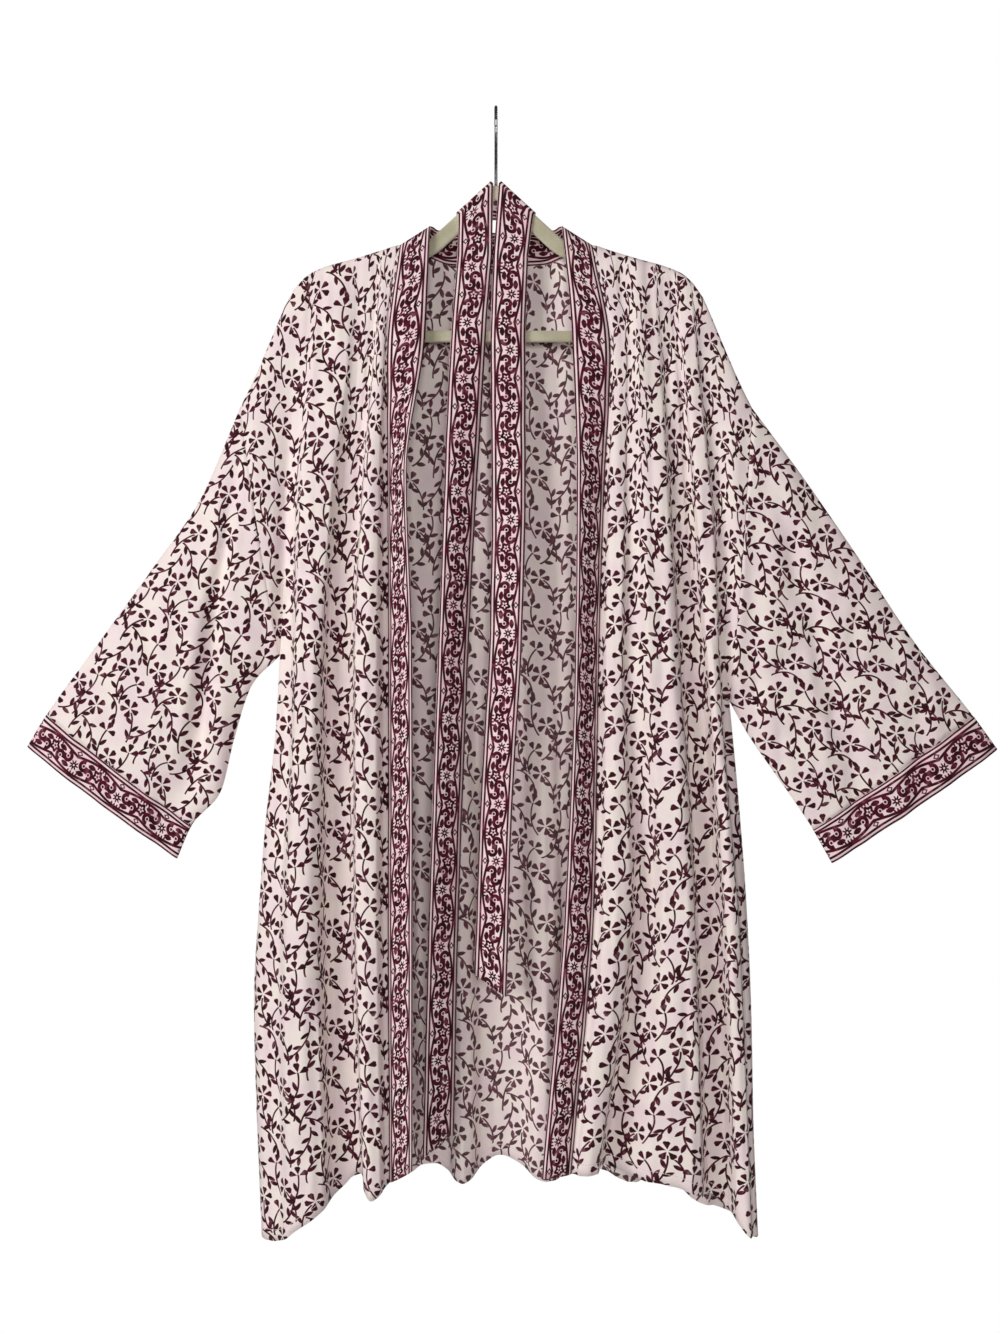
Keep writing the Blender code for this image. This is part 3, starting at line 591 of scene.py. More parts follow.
def sprig_ink(place):
    """How much ink lies at a place on the cloth, in millimetres, from 0 to 1."""
    place = place.vector("MULTIPLY", (1 / SPRIG_SCALE,) * 3)
    x_part, y_part = place.parts()
    flowers = [Stem(s).flower(s.petals) for s in SPRIGS if s.petals]
    quadrants = []
    for x, y in QUADRANTS:
        step = (x_part * (1 / TILE_X) + (0.5 - x / TILE_X)).math("FLOOR")
        dropped = place.node("ShaderNodeCombineXYZ", {}, {0: x_part, 1: y_part + step * (TILE_Y / 2)})
        low = (x - TILE_X / 2, y - TILE_Y / 2, -1)
        high = (x + TILE_X / 2, y + TILE_Y / 2, 1)
        quadrants.append(dropped.vector("WRAP", high, low))

    def around(x, y):
        """The quadrant that a spot of the tile is well inside of, and the spot's place there."""
        best = None
        for (qx, qy), shade in zip(QUADRANTS, quadrants):
            dx = (x - qx + TILE_X / 2) % TILE_X - TILE_X / 2
            columns = round((qx + dx - x) / TILE_X)
            dy = (y + columns * TILE_Y / 2 - qy + TILE_Y / 2) % TILE_Y - TILE_Y / 2
            far = max(abs(dx) / TILE_X, abs(dy) / TILE_Y)
            if best is None or far < best[0]:
                best = (far, shade, Vector((qx + dx - x, qy + dy - y)))
        return best[1:]

    def united(found, shape):
        return shape if found is None else found.least(shape)

    stems = leaves = petals = None
    radius, _ = bowed(LEAF_LONG, LEAF_WIDE)
    for n, sprig in enumerate(SPRIGS):
        stem = Stem(sprig)
        shade, shift = around(*stem.middle)
        on_arc = abs(far_from(shade, stem.centre + shift) - abs(stem.radius))
        stems = united(stems, on_arc.most(far_from(shade, stem.middle + shift) - stem.chord / 2))
        count = round(stem.chord / LEAF_GAP)
        grown = [((k + LEAF_START) / count, 1 if (k + n) % 2 else -1) for k in range(count)]
        if not sprig.petals:
            grown.append((1.0, 0))
        for share, lean in grown:
            foot = stem.point(share)
            turn = stem.heading(share) + lean * LEAF_LEAN
            middle = foot + Vector((cos(turn), sin(turn))) * (LEAF_LONG / 2)
            if min(tile_gap(middle, flower) for flower in flowers) < LEAF_CLEAR:
                continue
            shade, shift = around(*foot)
            first, second = leaf_centres(*(foot + shift), turn, LEAF_LONG, LEAF_WIDE)
            leaves = united(leaves, far_from(shade, first).most(far_from(shade, second)))
        if sprig.petals:
            middle = stem.flower(sprig.petals)
            shade, shift = around(*middle)
            spot = shade.vector("SUBTRACT", (*(middle + shift), 0))
            petals = united(petals, petal_shape(spot, stem.heading(1.0), sprig.petals))
    ink = leaves.within(radius, LEAF_SOFT).most(petals.within(0.0, PETAL_SOFT))
    return ink.most(stems.within(STEM_HALF, LINE_SOFT))


# The hem stitches in millimetres, and the scale of each noise that makes the print and the
# cloth uneven.
STITCH_IN = 12.0
STITCH_LONG = 3.4
STITCH_HALF = 0.39
THREAD_HALF = 0.45
THREAD_SHOWN = 0.8
THREAD_HIGH = 1.2
THREAD = linear(232, 208, 208)
DRIFT_SCALE = 0.016
BLOTCH_SCALE = 0.11
MOTTLE_SCALE = 0.026
WEAVE_SCALE = 2.2
CRINKLE_SCALE = 0.055
CRINKLE_HIGH = 5.0


def flat_place(shade, layer):
    """A spot's place on one flat layout of its piece, in millimetres."""
    return shade.node("ShaderNodeUVMap", {"uv_map": layer}).vector("MULTIPLY", (1 / MM,) * 3)


def cotton_finish(name, ink_on, drift_by, ground, ink_dark, ink_light, show):
    """Printed cotton: ground colour, uneven print, hem stitches, weave and fine crinkles."""
    material, shader, shade = finish(name, 0.86)
    flat = flat_place(shade, "cut")
    drift = flat.node("ShaderNodeTexNoise", {},
                      {"Vector": flat, "Scale": DRIFT_SCALE, "Detail": 1.2}, 1)
    drift = drift.vector("MULTIPLY_ADD", (drift_by * 2,) * 3, (-drift_by,) * 3)
    ink = ink_on(flat.vector("ADD", drift))
    blotch = flat.noise(BLOTCH_SCALE, 3.0)
    worn = blotch.span(0.26, 0.46, 0.90, 1.0)
    colour = blotch.span(0.35, 0.65).blend(ink_light, ink_dark)
    tint = flat.noise(MOTTLE_SCALE).span(0.32, 0.68).blend(*ground)
    colour = (ink * worn * show).blend(tint, colour)
    from_edge, along = flat_place(shade, "hem").parts()
    across = abs(from_edge - STITCH_IN)
    dash = abs((along * (1 / STITCH_LONG)).math("FRACT") - 0.5).within(STITCH_HALF, 0.03)
    thread = across.within(THREAD_HALF, 0.1) * dash
    colour = (thread * THREAD_SHOWN).blend(colour, THREAD)
    height = flat.noise(WEAVE_SCALE) + flat.noise(CRINKLE_SCALE) * CRINKLE_HIGH
    height = height + thread * THREAD_HIGH - across.span(2.2, 0.4)
    bump = shade.node("ShaderNodeBump", {}, {"Strength": 0.3, "Distance": 0.0003, "Height": height})
    shade.tree.links.new(colour.socket, shader.inputs["Base Color"])
    shade.tree.links.new(bump.socket, shader.inputs["Normal"])
    shader.inputs["Specular IOR Level"].default_value = 0.2
    shader.inputs["Sheen Weight"].default_value = 0.04
    return material


CLOTH_GROUND = (linear(246, 233, 226), linear(242, 222, 224))
sprig_cotton = cotton_finish("sprig_cotton", sprig_ink, 5.0, CLOTH_GROUND, linear(44, 5, 16),
                             linear(82, 16, 38), 1.0)
sprig_inside = cotton_finish("sprig_cotton_inside", sprig_ink, 5.0, CLOTH_GROUND, linear(60, 15, 30),
                             linear(98, 35, 56), 0.95)

back_rows = back_grid()
back_columns = {fold.name: EDGE_PARTS + FOLD_PARTS * n for n, fold in enumerate(BACK)}
back_cut = panel_cut(back_rows, EDGE_PARTS, len(back_rows[0]) - EDGE_PARTS - 1, back_columns["middle"])
back = cloth("robe_back", dented(back_rows, BACK_CREASES, seed=3.0), back_cut,
             sprig_cotton, sprig_inside, flip=False, hem=from_hem(back_rows))
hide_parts("back_panel")


# The two fronts are narrower widths of the same cotton, cut straight along the opening and
# sewn to the back at the shoulder and the side. Each hangs in long uneven folds.
LEFT_FRONT = (
    Fold("armhole crease", x=(210, 222, 231, 232, 246, 246), out=(7, 6, 4, 8, 18, 22)),
    Fold("outer roll", x=(172, 177, 192, 198, 203, 199), out=(7, 16, 27, 35, 40, 44)),
    Fold("valley edge", x=(143, 151, 169, 181, 181, 171), out=(7, 9, 7, 3, 3, 5)),
    Fold("long valley", x=(128, 137, 151, 161, 160, 149), out=(7, 7, 5, 3, 3, 5)),
    Fold("inner roll", x=(117, 127, 137, 141, 140, 134), out=(7, 15, 26, 34, 38, 42)),
    Fold("band seam", x=(105, 119, 118, 117, 117, 115), out=(7, 10, 12, 14, 18, 24)),
)
RIGHT_FRONT = (
    Fold("armhole crease", x=(217, 230, 245, 249, 269, 281), out=(7, 6, 5, 9, 15, 16)),
    Fold("side roll", x=(205, 213, 226, 238, 257, 270), out=(8, 14, 22, 27, 30, 30)),
    Fold("long valley", x=(190, 203, 213, 227, 242, 255), out=(7, 7, 5, 2, 2, 2)),
    Fold("valley edge", x=(180, 190, 198, 208, 222, 234), out=(7, 10, 8, 3, 2, 2)),
    Fold("middle roll", x=(160, 166, 174, 188, 204, 208), out=(7, 16, 27, 34, 38, 42)),
    Fold("low valley", x=(130, 147, 146, 144, 160, 120), out=(7, 12, 17, 18, 8, 3)),
    Fold("inner roll", x=(116, 135, 130, 127, 128, 98), out=(7, 14, 22, 29, 36, 44)),
    Fold("band seam", x=(105, 125, 118, 112, 107, 81), out=(7, 11, 12, 14, 22, 36)),
)
LEFT_HEM = (
    Hem(0.090, -1.150), Hem(0.115, -1.170), Hem(0.134, -1.184), Hem(0.149, -1.166),
    Hem(0.170, -1.184), Hem(0.212, -1.214), Hem(0.240, -1.233), Hem(0.257, -1.232),
)
RIGHT_HEM = (
    Hem(0.050, -1.158), Hem(0.107, -1.156), Hem(0.140, -1.163), Hem(0.190, -1.169),
    Hem(0.235, -1.190), Hem(0.258, -1.210), Hem(0.275, -1.229), Hem(0.2875, -1.234),
)
FRONT_CREASES = (
    Crease(-205, -195, -165, -330, 14, 2.0), Crease(-245, -575, -190, -480, 15, 3.0),
    Crease(-242, -640, -200, -720, 14, 3.0), Crease(-228, -700, -232, -980, 12, 2.5),
    Crease(-185, -560, -190, -900, 10, 2.0), Crease(-200, -960, -190, -1180, 12, 2.5),
    Crease(-240, -1000, -225, -1200, 12, 2.5), Crease(208, -200, 180, -330, 14, 2.0),
    Crease(252, -620, 215, -520, 13, 2.5), Crease(255, -690, 225, -760, 12, 2.0),
    Crease(182, -500, 175, -760, 12, 2.0), Crease(190, -820, 215, -1160, 13, 2.5),
    Crease(150, -900, 150, -1140, 11, 2.0), Crease(262, -900, 272, -1200, 10, 2.0),
)


def front_grid(side, folds, side_rows, hem_rows):
    """Rows of one front, from its outer edge to the band seam."""
    side_hem = hem_rows[-1].z
    fold_hem = column(hem_rows, "x", "z", fold_x(folds[0], 1.0))
    rows = []
    for edge in side_edge(side_rows, side_hem):
        points = edge_stretch(edge, folds[0], side_hem, fold_hem)
        for a, b in zip(folds, folds[1:]):
            for k in range(FOLD_PARTS):
                points.append(fold_point(a, b, k / FOLD_PARTS, edge.drop, hem_rows))
        points.append(fold_point(folds[-2], folds[-1], 1.0, edge.drop, hem_rows))
        rows.append([Vector((side * x, -out - SEAM_GAP / 2, z)) for x, out, z in points])
    return rows


Front = namedtuple("Front", "name node folds side_rows hem_rows flat area")
FRONTS = {
    -1: Front("robe_front_left", "front_left", LEFT_FRONT, LEFT_SIDE, LEFT_HEM, (0.30, 1.06), 0.24),
    1: Front("robe_front_right", "front_right", RIGHT_FRONT, RIGHT_SIDE, RIGHT_HEM, (0.32, 1.06), 0.26),
}
front_rows = {}
for side, front in FRONTS.items():
    rows = front_grid(side, front.folds, front.side_rows, front.hem_rows)
    front_rows[side] = dented(rows, FRONT_CREASES, seed=11.0)
    cut = panel_cut(rows, EDGE_PARTS, len(rows[0]) - 1, len(rows[0]) - 1)
    piece = cloth(front.name, front_rows[side], cut, sprig_cotton, sprig_inside, flip=side < 0,
                  hem=from_hem(rows))
    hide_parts(front.node)


# The sleeves are straight wide tubes of the same cotton, sewn to the dropped armholes.
# They hang out at a slant with slack diagonal folds from the underarm.
Sleeve = namedtuple("Sleeve", "share top_x top_z low_x low_z out valley depth")
LEFT_SLEEVE = (
    Sleeve(0.00, 0.281, -0.327, 0.2375, -0.600, 0.016, 0.12, 0.00000),
    Sleeve(0.25, 0.326, -0.430, 0.2680, -0.632, 0.017, 0.42, 0.00945),
    Sleeve(0.50, 0.376, -0.502, 0.2880, -0.692, 0.017, 0.66, 0.01350),
    Sleeve(0.75, 0.434, -0.582, 0.3030, -0.750, 0.015, 0.78, 0.01080),
    Sleeve(1.00, 0.494, -0.665, 0.3350, -0.787, 0.012, 0.86, 0.00540),
    Sleeve(1.15, 0.515, -0.700, 0.3510, -0.823, 0.012, 0.88, 0.00405),
)
RIGHT_SLEEVE = (
    Sleeve(0.00, 0.281, -0.327, 0.2565, -0.650, 0.016, 0.12, 0.00000),
    Sleeve(0.25, 0.337, -0.403, 0.2780, -0.688, 0.016, 0.27, 0.00405),
    Sleeve(0.50, 0.397, -0.490, 0.3020, -0.723, 0.015, 0.45, 0.00675),
    Sleeve(0.75, 0.460, -0.585, 0.3260, -0.757, 0.014, 0.60, 0.00540),
    Sleeve(1.00, 0.525, -0.667, 0.3487, -0.791, 0.012, 0.70, 0.00405),
    Sleeve(1.15, 0.551, -0.703, 0.3696, -0.828, 0.012, 0.72, 0.00270),
)
SLEEVES = {-1: LEFT_SLEEVE, 1: RIGHT_SLEEVE}
SLEEVE_STEPS = 44
SLEEVE_RINGS = [k / SLEEVE_STEPS for k in range(SLEEVE_STEPS + 1)]
VALLEY_HALF_WIDTH = 0.14
BACK_VALLEY = 0.6
SLEEVE_CREASES = (
    Crease(-262, -600, -330, -540, 14, 3.0), Crease(-275, -640, -390, -600, 14, 3.0),
    Crease(-300, -700, -430, -650, 12, 2.5), Crease(-320, -440, -330, -560, 14, 2.5),
    Crease(-390, -560, -350, -680, 13, 2.5), Crease(-440, -640, -400, -720, 11, 2.0),
    Crease(270, -650, 350, -580, 14, 3.0), Crease(290, -700, 420, -640, 14, 2.5),
    Crease(330, -430, 320, -580, 14, 2.0), Crease(400, -530, 370, -680, 13, 2.5),
    Crease(470, -630, 430, -730, 11, 2.0),
)


def sleeve_ring(rows, side, share):
    """One section of a sleeve from its lower edge, up the back, over and down the front."""
    top = Vector((column(rows, "share", "top_x", share), 0, column(rows, "share", "top_z", share)))
    low = Vector((column(rows, "share", "low_x", share), 0, column(rows, "share", "low_z", share)))
    out = column(rows, "share", "out", share)
    valley = column(rows, "share", "valley", share)
    depth = column(rows, "share", "depth", share)
    points = []
    for face in (1, -1):
        shares = ARMHOLE_ROWS[:0:-1] if face > 0 else ARMHOLE_ROWS[:-1]
        for s in shares:
            place = top.lerp(low, s)
            reach = out * lens(s)
            dent = depth if face < 0 else depth * BACK_VALLEY
            middle = valley if face < 0 else 1 - valley
            reach -= dent * wave(max(0.0, 1 - abs(s - middle) / VALLEY_HALF_WIDTH))
            points.append(Vector((side * place.x, face * reach, place.z)))
    return points


def tube_cut(rings):
    """Places on the flat sleeve: across it and along it, the same on its front and its back."""
    first, last = [sum(ring, Vector()) / len(ring) for ring in (rings[0], rings[-1])]
    along = (last - first).normalized()
    across = along.cross(Vector((0, 1, 0)))
    return [[((p - first).dot(across), (first - p).dot(along)) for p in ring + ring[:1]]
            for ring in rings]


for side, name in ((-1, "left"), (1, "right")):
    rings = [sleeve_ring(SLEEVES[side], side, share) for share in SLEEVE_RINGS]
    piece = cloth("robe_sleeve_" + name, dented(rings, SLEEVE_CREASES, seed=11.0), tube_cut(rings),
                  sprig_cotton, sprig_inside, flip=side < 0, closed=True)
    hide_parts("sleeve_" + name)


# Each cuff is a doubled band of border-print cotton, sewn round the sleeve's end. Its print has
# lined edges, a scalloped guard line, and curls and leaves between rosettes and stars. The
# sizes of the print are in millimetres.
BORDER_WIDE = 38.0
BORDER_REPEAT = 62.0
EDGE_LINE = 18.0
EDGE_HALF = 0.85
INNER_LINE = 14.2
INNER_HALF = 1.15
GUARD_PINCH = 6.8
GUARD_SWELL = 5.2
GUARD_HALF = 1.4
DIAMOND_AT = 10.6
DIAMOND = 2.2
DIAMOND_HALF = 0.75
DIAMOND_SLIM = 0.75
ROSETTE_AT = -2.2
ROSETTE = 4.3
ROSETTE_HALF = 1.8
ROSETTE_EYE = 1.3
ROSETTE_LOBES = 5.0
STAR_AT = 2.4
STAR = 4.1
STAR_RAYS = 8.0
STAR_RAY = 1.5
STAR_EYE = 1.0
CURL_ALONG = 10.8
CURL_ACROSS = 2.4
CURL_RADIUS = 4.3
CURL_HALF = 2.0
CURL_EYE = 1.5
CURL_MOUTH = 1.0
Leaf = namedtuple("Leaf", "along across turn long wide")
BORDER_LEAVES = (
    Leaf(5.2, -6.8, 4, 10.4, 5.2), Leaf(25.8, 6.8, 184, 10.4, 5.2),
    Leaf(16.4, 4.4, 42, 7.0, 3.6), Leaf(14.6, -4.4, 222, 7.0, 3.6),
    Leaf(0.0, -11.8, 90, 3.4, 2.0), Leaf(3.4, -11.6, 86, 3.6, 2.0), Leaf(6.8, -11.2, 80, 3.6, 2.0),
    Leaf(31.0, 11.8, -90, 3.4, 2.0), Leaf(27.6, 11.6, -94, 3.6, 2.0),
)


def border_ink(place):
    """How much ink lies at a place on the border strip, in millimetres, from 0 to 1."""
    across, along = place.parts()
    across = across - BORDER_WIDE / 2
    off = abs(across)
    half = BORDER_REPEAT / 2

    def line(value, middle, thick):
        return abs(value - middle).within(thick, LINE_SOFT)

    def round_spot(at, start):
        """Distance from a spot on the strip and the angle round it; start shifts its repeat."""
        away = (along + start).math("WRAP", half, -half)
        beside = across - at
        return (beside * beside + away * away).math("SQRT"), beside.math("ARCTAN2", away)

    ink = line(off, EDGE_LINE, EDGE_HALF).most(line(off, INNER_LINE, INNER_HALF))
    sided = along + (across < 0.0) * half
    guard = abs((sided * (pi / BORDER_REPEAT)).math("SINE")) * GUARD_SWELL + GUARD_PINCH
    ink = ink.most(line(off, guard, GUARD_HALF))
    pinch = abs(sided.math("WRAP", half, -half))
    ink = ink.most(line(pinch * DIAMOND_SLIM + abs(off - DIAMOND_AT), DIAMOND, DIAMOND_HALF))
    far, angle = round_spot(ROSETTE_AT, 0.0)
    lobes = (angle * ROSETTE_LOBES).math("COSINE")
    ink = ink.most(line(far, lobes + ROSETTE, ROSETTE_HALF)).most(far.within(ROSETTE_EYE, LINE_SOFT))
    far, angle = round_spot(STAR_AT, half)
    rays = (angle * STAR_RAYS).math("COSINE")
    star = (far - rays * STAR_RAY).within(STAR, LINE_SOFT)
    ink = ink.most(star * (1.0 - far.within(STAR_EYE, LINE_SOFT)))
    cell = along.math("WRAP", half, 0.0)
    turned = along.math("WRAP", BORDER_REPEAT, 0.0)
    aside = across * (1.0 - turned.math("GREATER_THAN", half) * 2.0)
    folded = place.node("ShaderNodeCombineXYZ", {}, {0: cell, 1: aside})
    for way in (1, -1):
        x = half / 2 - way * (half / 2 - CURL_ALONG)
        y = way * CURL_ACROSS
        far = far_from(folded, (x, y))
        closed = ((cell - x) * way).least((aside - y) * way).within(CURL_MOUTH, LINE_SOFT)
        ink = ink.most(line(far, CURL_RADIUS, CURL_HALF) * closed)
        ink = ink.most(far.within(CURL_EYE, LINE_SOFT))
    for leaf in BORDER_LEAVES:
        radius, _ = bowed(leaf.long, leaf.wide)
        first, second = leaf_centres(leaf.along, leaf.across, radians(leaf.turn), leaf.long, leaf.wide)
        inside = far_from(folded, first).most(far_from(folded, second))
        ink = ink.most(inside.within(radius, LEAF_SOFT))
    return ink


BORDER_GROUND = (linear(247, 226, 226), linear(240, 206, 213))
border_cotton = cotton_finish("border_cotton", border_ink, 0.8, BORDER_GROUND, linear(44, 2, 14),
                              linear(92, 11, 38), 1.0)
CUFF_SHARE = 0.15
CUFF_STEPS = 10
CUFF_RINGS = [1.0 + CUFF_SHARE * k / CUFF_STEPS for k in range(CUFF_STEPS + 1)]
DOUBLED = {"thick": 0.0014, "offset": -0.4}
for side, name, cuff_long in ((-1, "left", 0.42), (1, "right", 0.48)):
    rings = [sleeve_ring(SLEEVES[side], side, share) for share in CUFF_RINGS]
    rings = dented(rings, SLEEVE_CREASES, seed=11.0)
    middle_ring = rings[CUFF_STEPS // 2]
    run = lengths(middle_ring + middle_ring[:1])
    repeats = round(run[-1] / (BORDER_REPEAT * MM))
    fit = repeats * BORDER_REPEAT * MM / run[-1]
    cut = [[(BORDER_WIDE * MM * i / CUFF_STEPS, r * fit) for r in run] for i in range(CUFF_STEPS + 1)]
    piece = cloth("robe_cuff_" + name, rings, cut, border_cotton, border_cotton,
                  flip=side < 0, closed=True, **DOUBLED)
    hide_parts("cuff_" + name)


# The band is a doubled strip of the border print, sewn up each front edge, over the shoulder
# and round the back of the neck, where its two halves are joined.
COLLAR_TOP = -0.128
COLLAR_LEAN = 0.033
COLLAR_NEARER = 0.15
BAND_PARTS = 10
BAND_SWELL = 0.0040
SWELL_RUN = 0.15
LEFT_OPENING = Fold("free edge", x=(72, 77, 96, 90, 89, 89), out=(10, 14, 32, 36, 40, 46))
RIGHT_OPENING = Fold("free edge", x=(72, 83, 87, 85, 75, 49), out=(10, 14, 30, 36, 40, 46))


def strip_row(edge, other, swell, parts):
    """One row of points across a strip, from edge to edge, bowed forward by the swell."""
    bow = Vector((0, -swell, 0))
    return [edge.lerp(other, q / parts) + bow * lens(q / parts) for q in range(parts + 1)]


def strip_cut(rows, wide):
    """Places on a flat strip, measured along its middle line."""
    parts = len(rows[0]) - 1
    run = lengths([row[parts // 2] for row in rows])
    return [[(wide * q / parts, r) for q in range(parts + 1)] for r in run]


for side, name, opening in ((-1, "left", LEFT_OPENING), (1, "right", RIGHT_OPENING)):
    front = FRONTS[side]
    end = back_columns[name + " collar"]
    seams = [back_rows[0][j] for j in range(back_columns["middle"], end, side)]
    frees = []
    for seam in seams:
        far = abs(seam.x) / COLLAR_HALF
        inward = abs(seam.x) - COLLAR_LEAN * far * far
        frees.append(Vector((side * inward, seam.y * (1 - COLLAR_NEARER * far), COLLAR_TOP)))
    hem_z = column(front.hem_rows, "x", "z", fold_x(opening, 1.0))
    for i, edge in enumerate(side_edge(front.side_rows, front.hem_rows[-1].z)):
        z = mix(COLLAR_TOP, hem_z, edge.drop)
        out = fold_out(opening, edge.drop) * quarter((COLLAR_TOP - z) / (2 * SHOULDER_ROLL))
        seams.append(front_rows[side][i][-1])
        frees.append(Vector((side * fold_x(opening, edge.drop), -out, z)))
    rows = [strip_row(seam, free, BAND_SWELL * ease((COLLAR_TOP - free.z) / SWELL_RUN), BAND_PARTS)
            for seam, free in zip(seams, frees)]
    piece = cloth("robe_band_" + name, rows, strip_cut(rows, BORDER_WIDE * MM),
                  border_cotton, border_cotton, flip=side < 0, **DOUBLED)
    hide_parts("band_" + name)


# The belt is one long doubled strip of the border print. It is hung behind the stem of the
# hook and comes forward over both arms of the hanger, so that its two ends fall in front.
BELT_WIDTH = 0.038
BELT_FROM_STEM = 0.0030
DOUBLE_WALL = 0.0020
HANGER_HALF_THICKNESS = 0.0025
HANGER_NECK_TOP = -0.083
HANGER_NECK_RADIUS = 0.020
HANGER_NECK_SLOPE = radians(42.5)
Fall = namedtuple("Fall", "z x y turn")
LEFT_FALL = (
    Fall(-0.160, -0.0232, -0.0039, 0), Fall(-0.253, -0.0303, -0.0060, 3),
    Fall(-0.420, -0.0390, -0.0100, 24), Fall(-0.583, -0.0462, -0.0120, 32),
    Fall(-0.913, -0.0580, -0.0120, 34), Fall(-1.134, -0.0630, -0.0120, 30),
)
RIGHT_FALL = (
    Fall(-0.160, 0.0164, -0.0039, 0), Fall(-0.253, 0.0132, -0.0060, -3),
    Fall(-0.420, 0.0140, -0.0100, -15), Fall(-0.583, 0.0108, -0.0120, -22),
    Fall(-0.700, 0.0040, -0.0120, -24), Fall(-0.800, -0.0010, -0.0120, -24),
    Fall(-0.960, -0.0060, -0.0120, -22),
)
BELT_END_SLANT = 0.022
BELT_SWELL = 0.0030
BELT_PARTS = 8
FALL_STEPS = 70
SLANT_STEPS = 6
RISE_STEPS = 10
TURN_STEPS = 12


def fall_sections(side, falls):
    """Belt sections (inner point, outer point) from a free end up over the arm to the middle."""
    sections = []
    end = falls[-1].z
    for step in range(FALL_STEPS + 1):
        z = mix(end, falls[0].z, step / FALL_STEPS)
        turn = radians(column(falls, "z", "turn", z))
        reach = Vector((cos(turn), sin(turn), 0)) * (BELT_WIDTH / 2)
        centre = Vector((column(falls, "z", "x", z), column(falls, "z", "y", z), z))
        slant = Vector((0, 0, BELT_END_SLANT / 2 * max(0.0, 1 - step / SLANT_STEPS)))
        sections.append((centre - reach * side + slant, centre + reach * side - slant))
    slope = HANGER_NECK_SLOPE
    along = Vector((side * cos(slope), 0, -sin(slope)))
    lift = Vector((side * sin(slope), 0, cos(slope)))
    neck = Vector((0, 0, HANGER_NECK_TOP - HANGER_NECK_RADIUS))
    axis = neck + lift * (HANGER_NECK_RADIUS - HANGER_HALF_THICKNESS)
    radius = HANGER_HALF_THICKNESS + SEAM_GAP + DOUBLE_WALL / 2
    first_inner, first_outer = sections[-1]
    fold_inner = axis + along * ((side * BELT_FROM_STEM - axis.x) / along.x)
    fold_outer = axis + along * ((side * (BELT_FROM_STEM + BELT_WIDTH) - axis.x) / along.x)
    front = Vector((0, -radius, 0))
    for step in range(1, RISE_STEPS):
        share = step / RISE_STEPS
        sections.append((first_inner.lerp(fold_inner + front, share),
                         first_outer.lerp(fold_outer + front, share)))
    for step in range(TURN_STEPS + 1):
        angle = pi * step / TURN_STEPS
        bend = Vector((0, -radius * cos(angle), 0)) + lift * (radius * sin(angle))
        sections.append((fold_inner + bend, fold_outer + bend))
    rear = Vector((0, radius, 0))
    back_top = Vector((0, radius, fold_inner.z))
    back_low = Vector((0, radius, fold_inner.z - BELT_WIDTH))
    for share in (0.25, 0.5, 0.75, 1.0):
        sections.append(((fold_inner + rear).lerp(back_top, share),
                         (fold_outer + rear).lerp(back_low, share)))
    return sections


strip = fall_sections(-1, LEFT_FALL)[:-1] + fall_sections(1, RIGHT_FALL)[::-1]
rows = []
for inner, outer in strip:
    below = LEFT_FALL[0].z - max(inner.z, outer.z)
    rows.append(strip_row(inner, outer, BELT_SWELL * ease(below / SWELL_RUN), BELT_PARTS))
belt = cloth("robe_belt", rows, strip_cut(rows, BELT_WIDTH), border_cotton, border_cotton,
             flip=False, thick=0.0016, offset=0.0)
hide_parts("belt_left", "belt_loop", "belt_right")


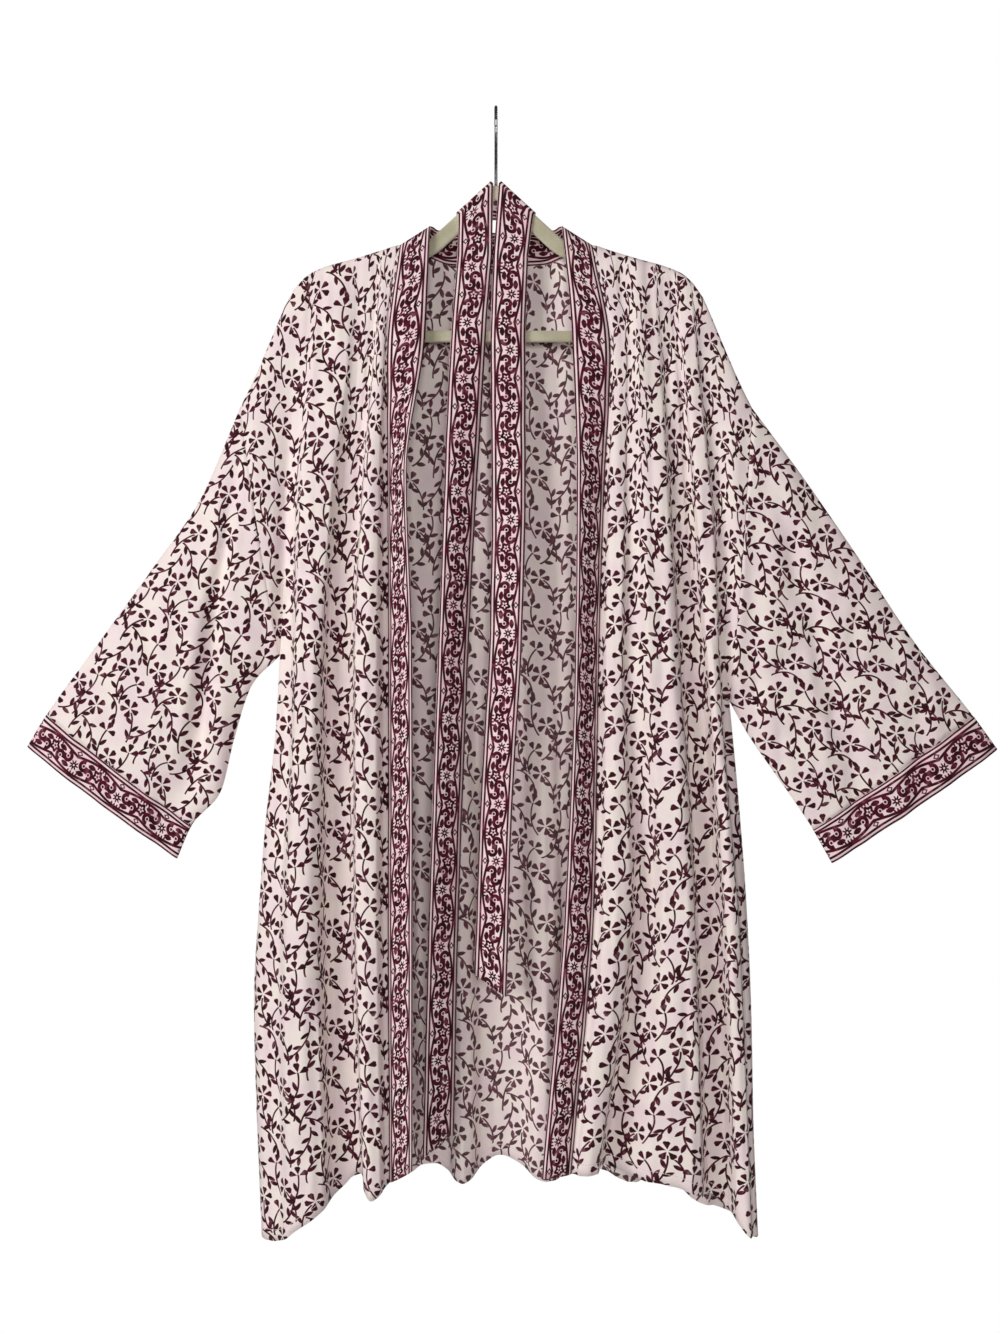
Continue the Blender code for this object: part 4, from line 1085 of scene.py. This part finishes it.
# The stage is a round pale floor well under the hem, in a white room. A large soft light stands
# in front to the left, a weaker one near the camera and two behind for the back.
FLOOR_AT = -1.95
bpy.ops.mesh.primitive_circle_add(vertices=96, radius=1.2, fill_type="NGON", location=(0, 0, 0))
floor = bpy.context.object
floor.name = "pale_floor"
floor.data.transform(Matrix.Translation((0, 0, FLOOR_AT)))
paper, paper_shader, paper_shade = finish("pale_paper", 0.95)
grain = paper_shade.node("ShaderNodeTexCoord", output=3).noise(60.0, 3.0)
grain = grain.span(0.3, 0.7).blend((0.84, 0.84, 0.84, 1), (0.88, 0.88, 0.88, 1))
paper_shade.tree.links.new(grain.socket, paper_shader.inputs["Base Color"])
floor.data.materials.append(paper)

Lamp = namedtuple("Lamp", "name place aim size power")
LAMPS = (
    Lamp("key", (-2.2, -2.1, 0.5), (0, 0, -0.6), 1.5, 66),
    Lamp("fill", (0.2, -3.0, -0.3), (0, 0, -0.7), 0.9, 32),
    Lamp("rear_left", (-1.6, 2.4, 0.5), (0, 0, -0.6), 1.0, 30),
    Lamp("rear_right", (1.6, 2.4, 0.7), (0, 0, -0.6), 1.0, 60),
)
for lamp in LAMPS:
    light = bpy.data.lights.new(lamp.name, "AREA")
    light.size = lamp.size
    light.energy = lamp.power
    stand = bpy.data.objects.new(lamp.name, light)
    stand.location = lamp.place
    stand.rotation_euler = (Vector(lamp.aim) - Vector(lamp.place)).to_track_quat("-Z", "Y").to_euler()
    bpy.context.collection.objects.link(stand)
world = bpy.data.worlds.new("studio")
world.use_nodes = True
room = Shade(world.node_tree)
lit = room.node("ShaderNodeBackground", {}, {0: (1.0, 0.94, 0.88, 1), 1: 0.08})
shown = room.node("ShaderNodeBackground", {}, {0: (1, 1, 1, 1), 1: 1.0})
both = room.node("ShaderNodeMixShader", {}, {0: room.node("ShaderNodeLightPath"), 1: lit, 2: shown})
world.node_tree.links.new(both.socket, world.node_tree.nodes["World Output"].inputs["Surface"])
bpy.context.scene.world = world
bpy.context.scene.view_settings.view_transform = "Standard"

CAMERA_PLACE = (0.0044, -1.5, -0.612)
FRAME_TALL = 1.466
camera_data = bpy.data.cameras.new("camera")
camera_data.lens = camera_data.sensor_width * abs(CAMERA_PLACE[1]) / FRAME_TALL
camera = bpy.data.objects.new("camera", camera_data)
camera.location = CAMERA_PLACE
camera.rotation_euler = (radians(90), 0, 0)
bpy.context.collection.objects.link(camera)
bpy.context.scene.camera = camera
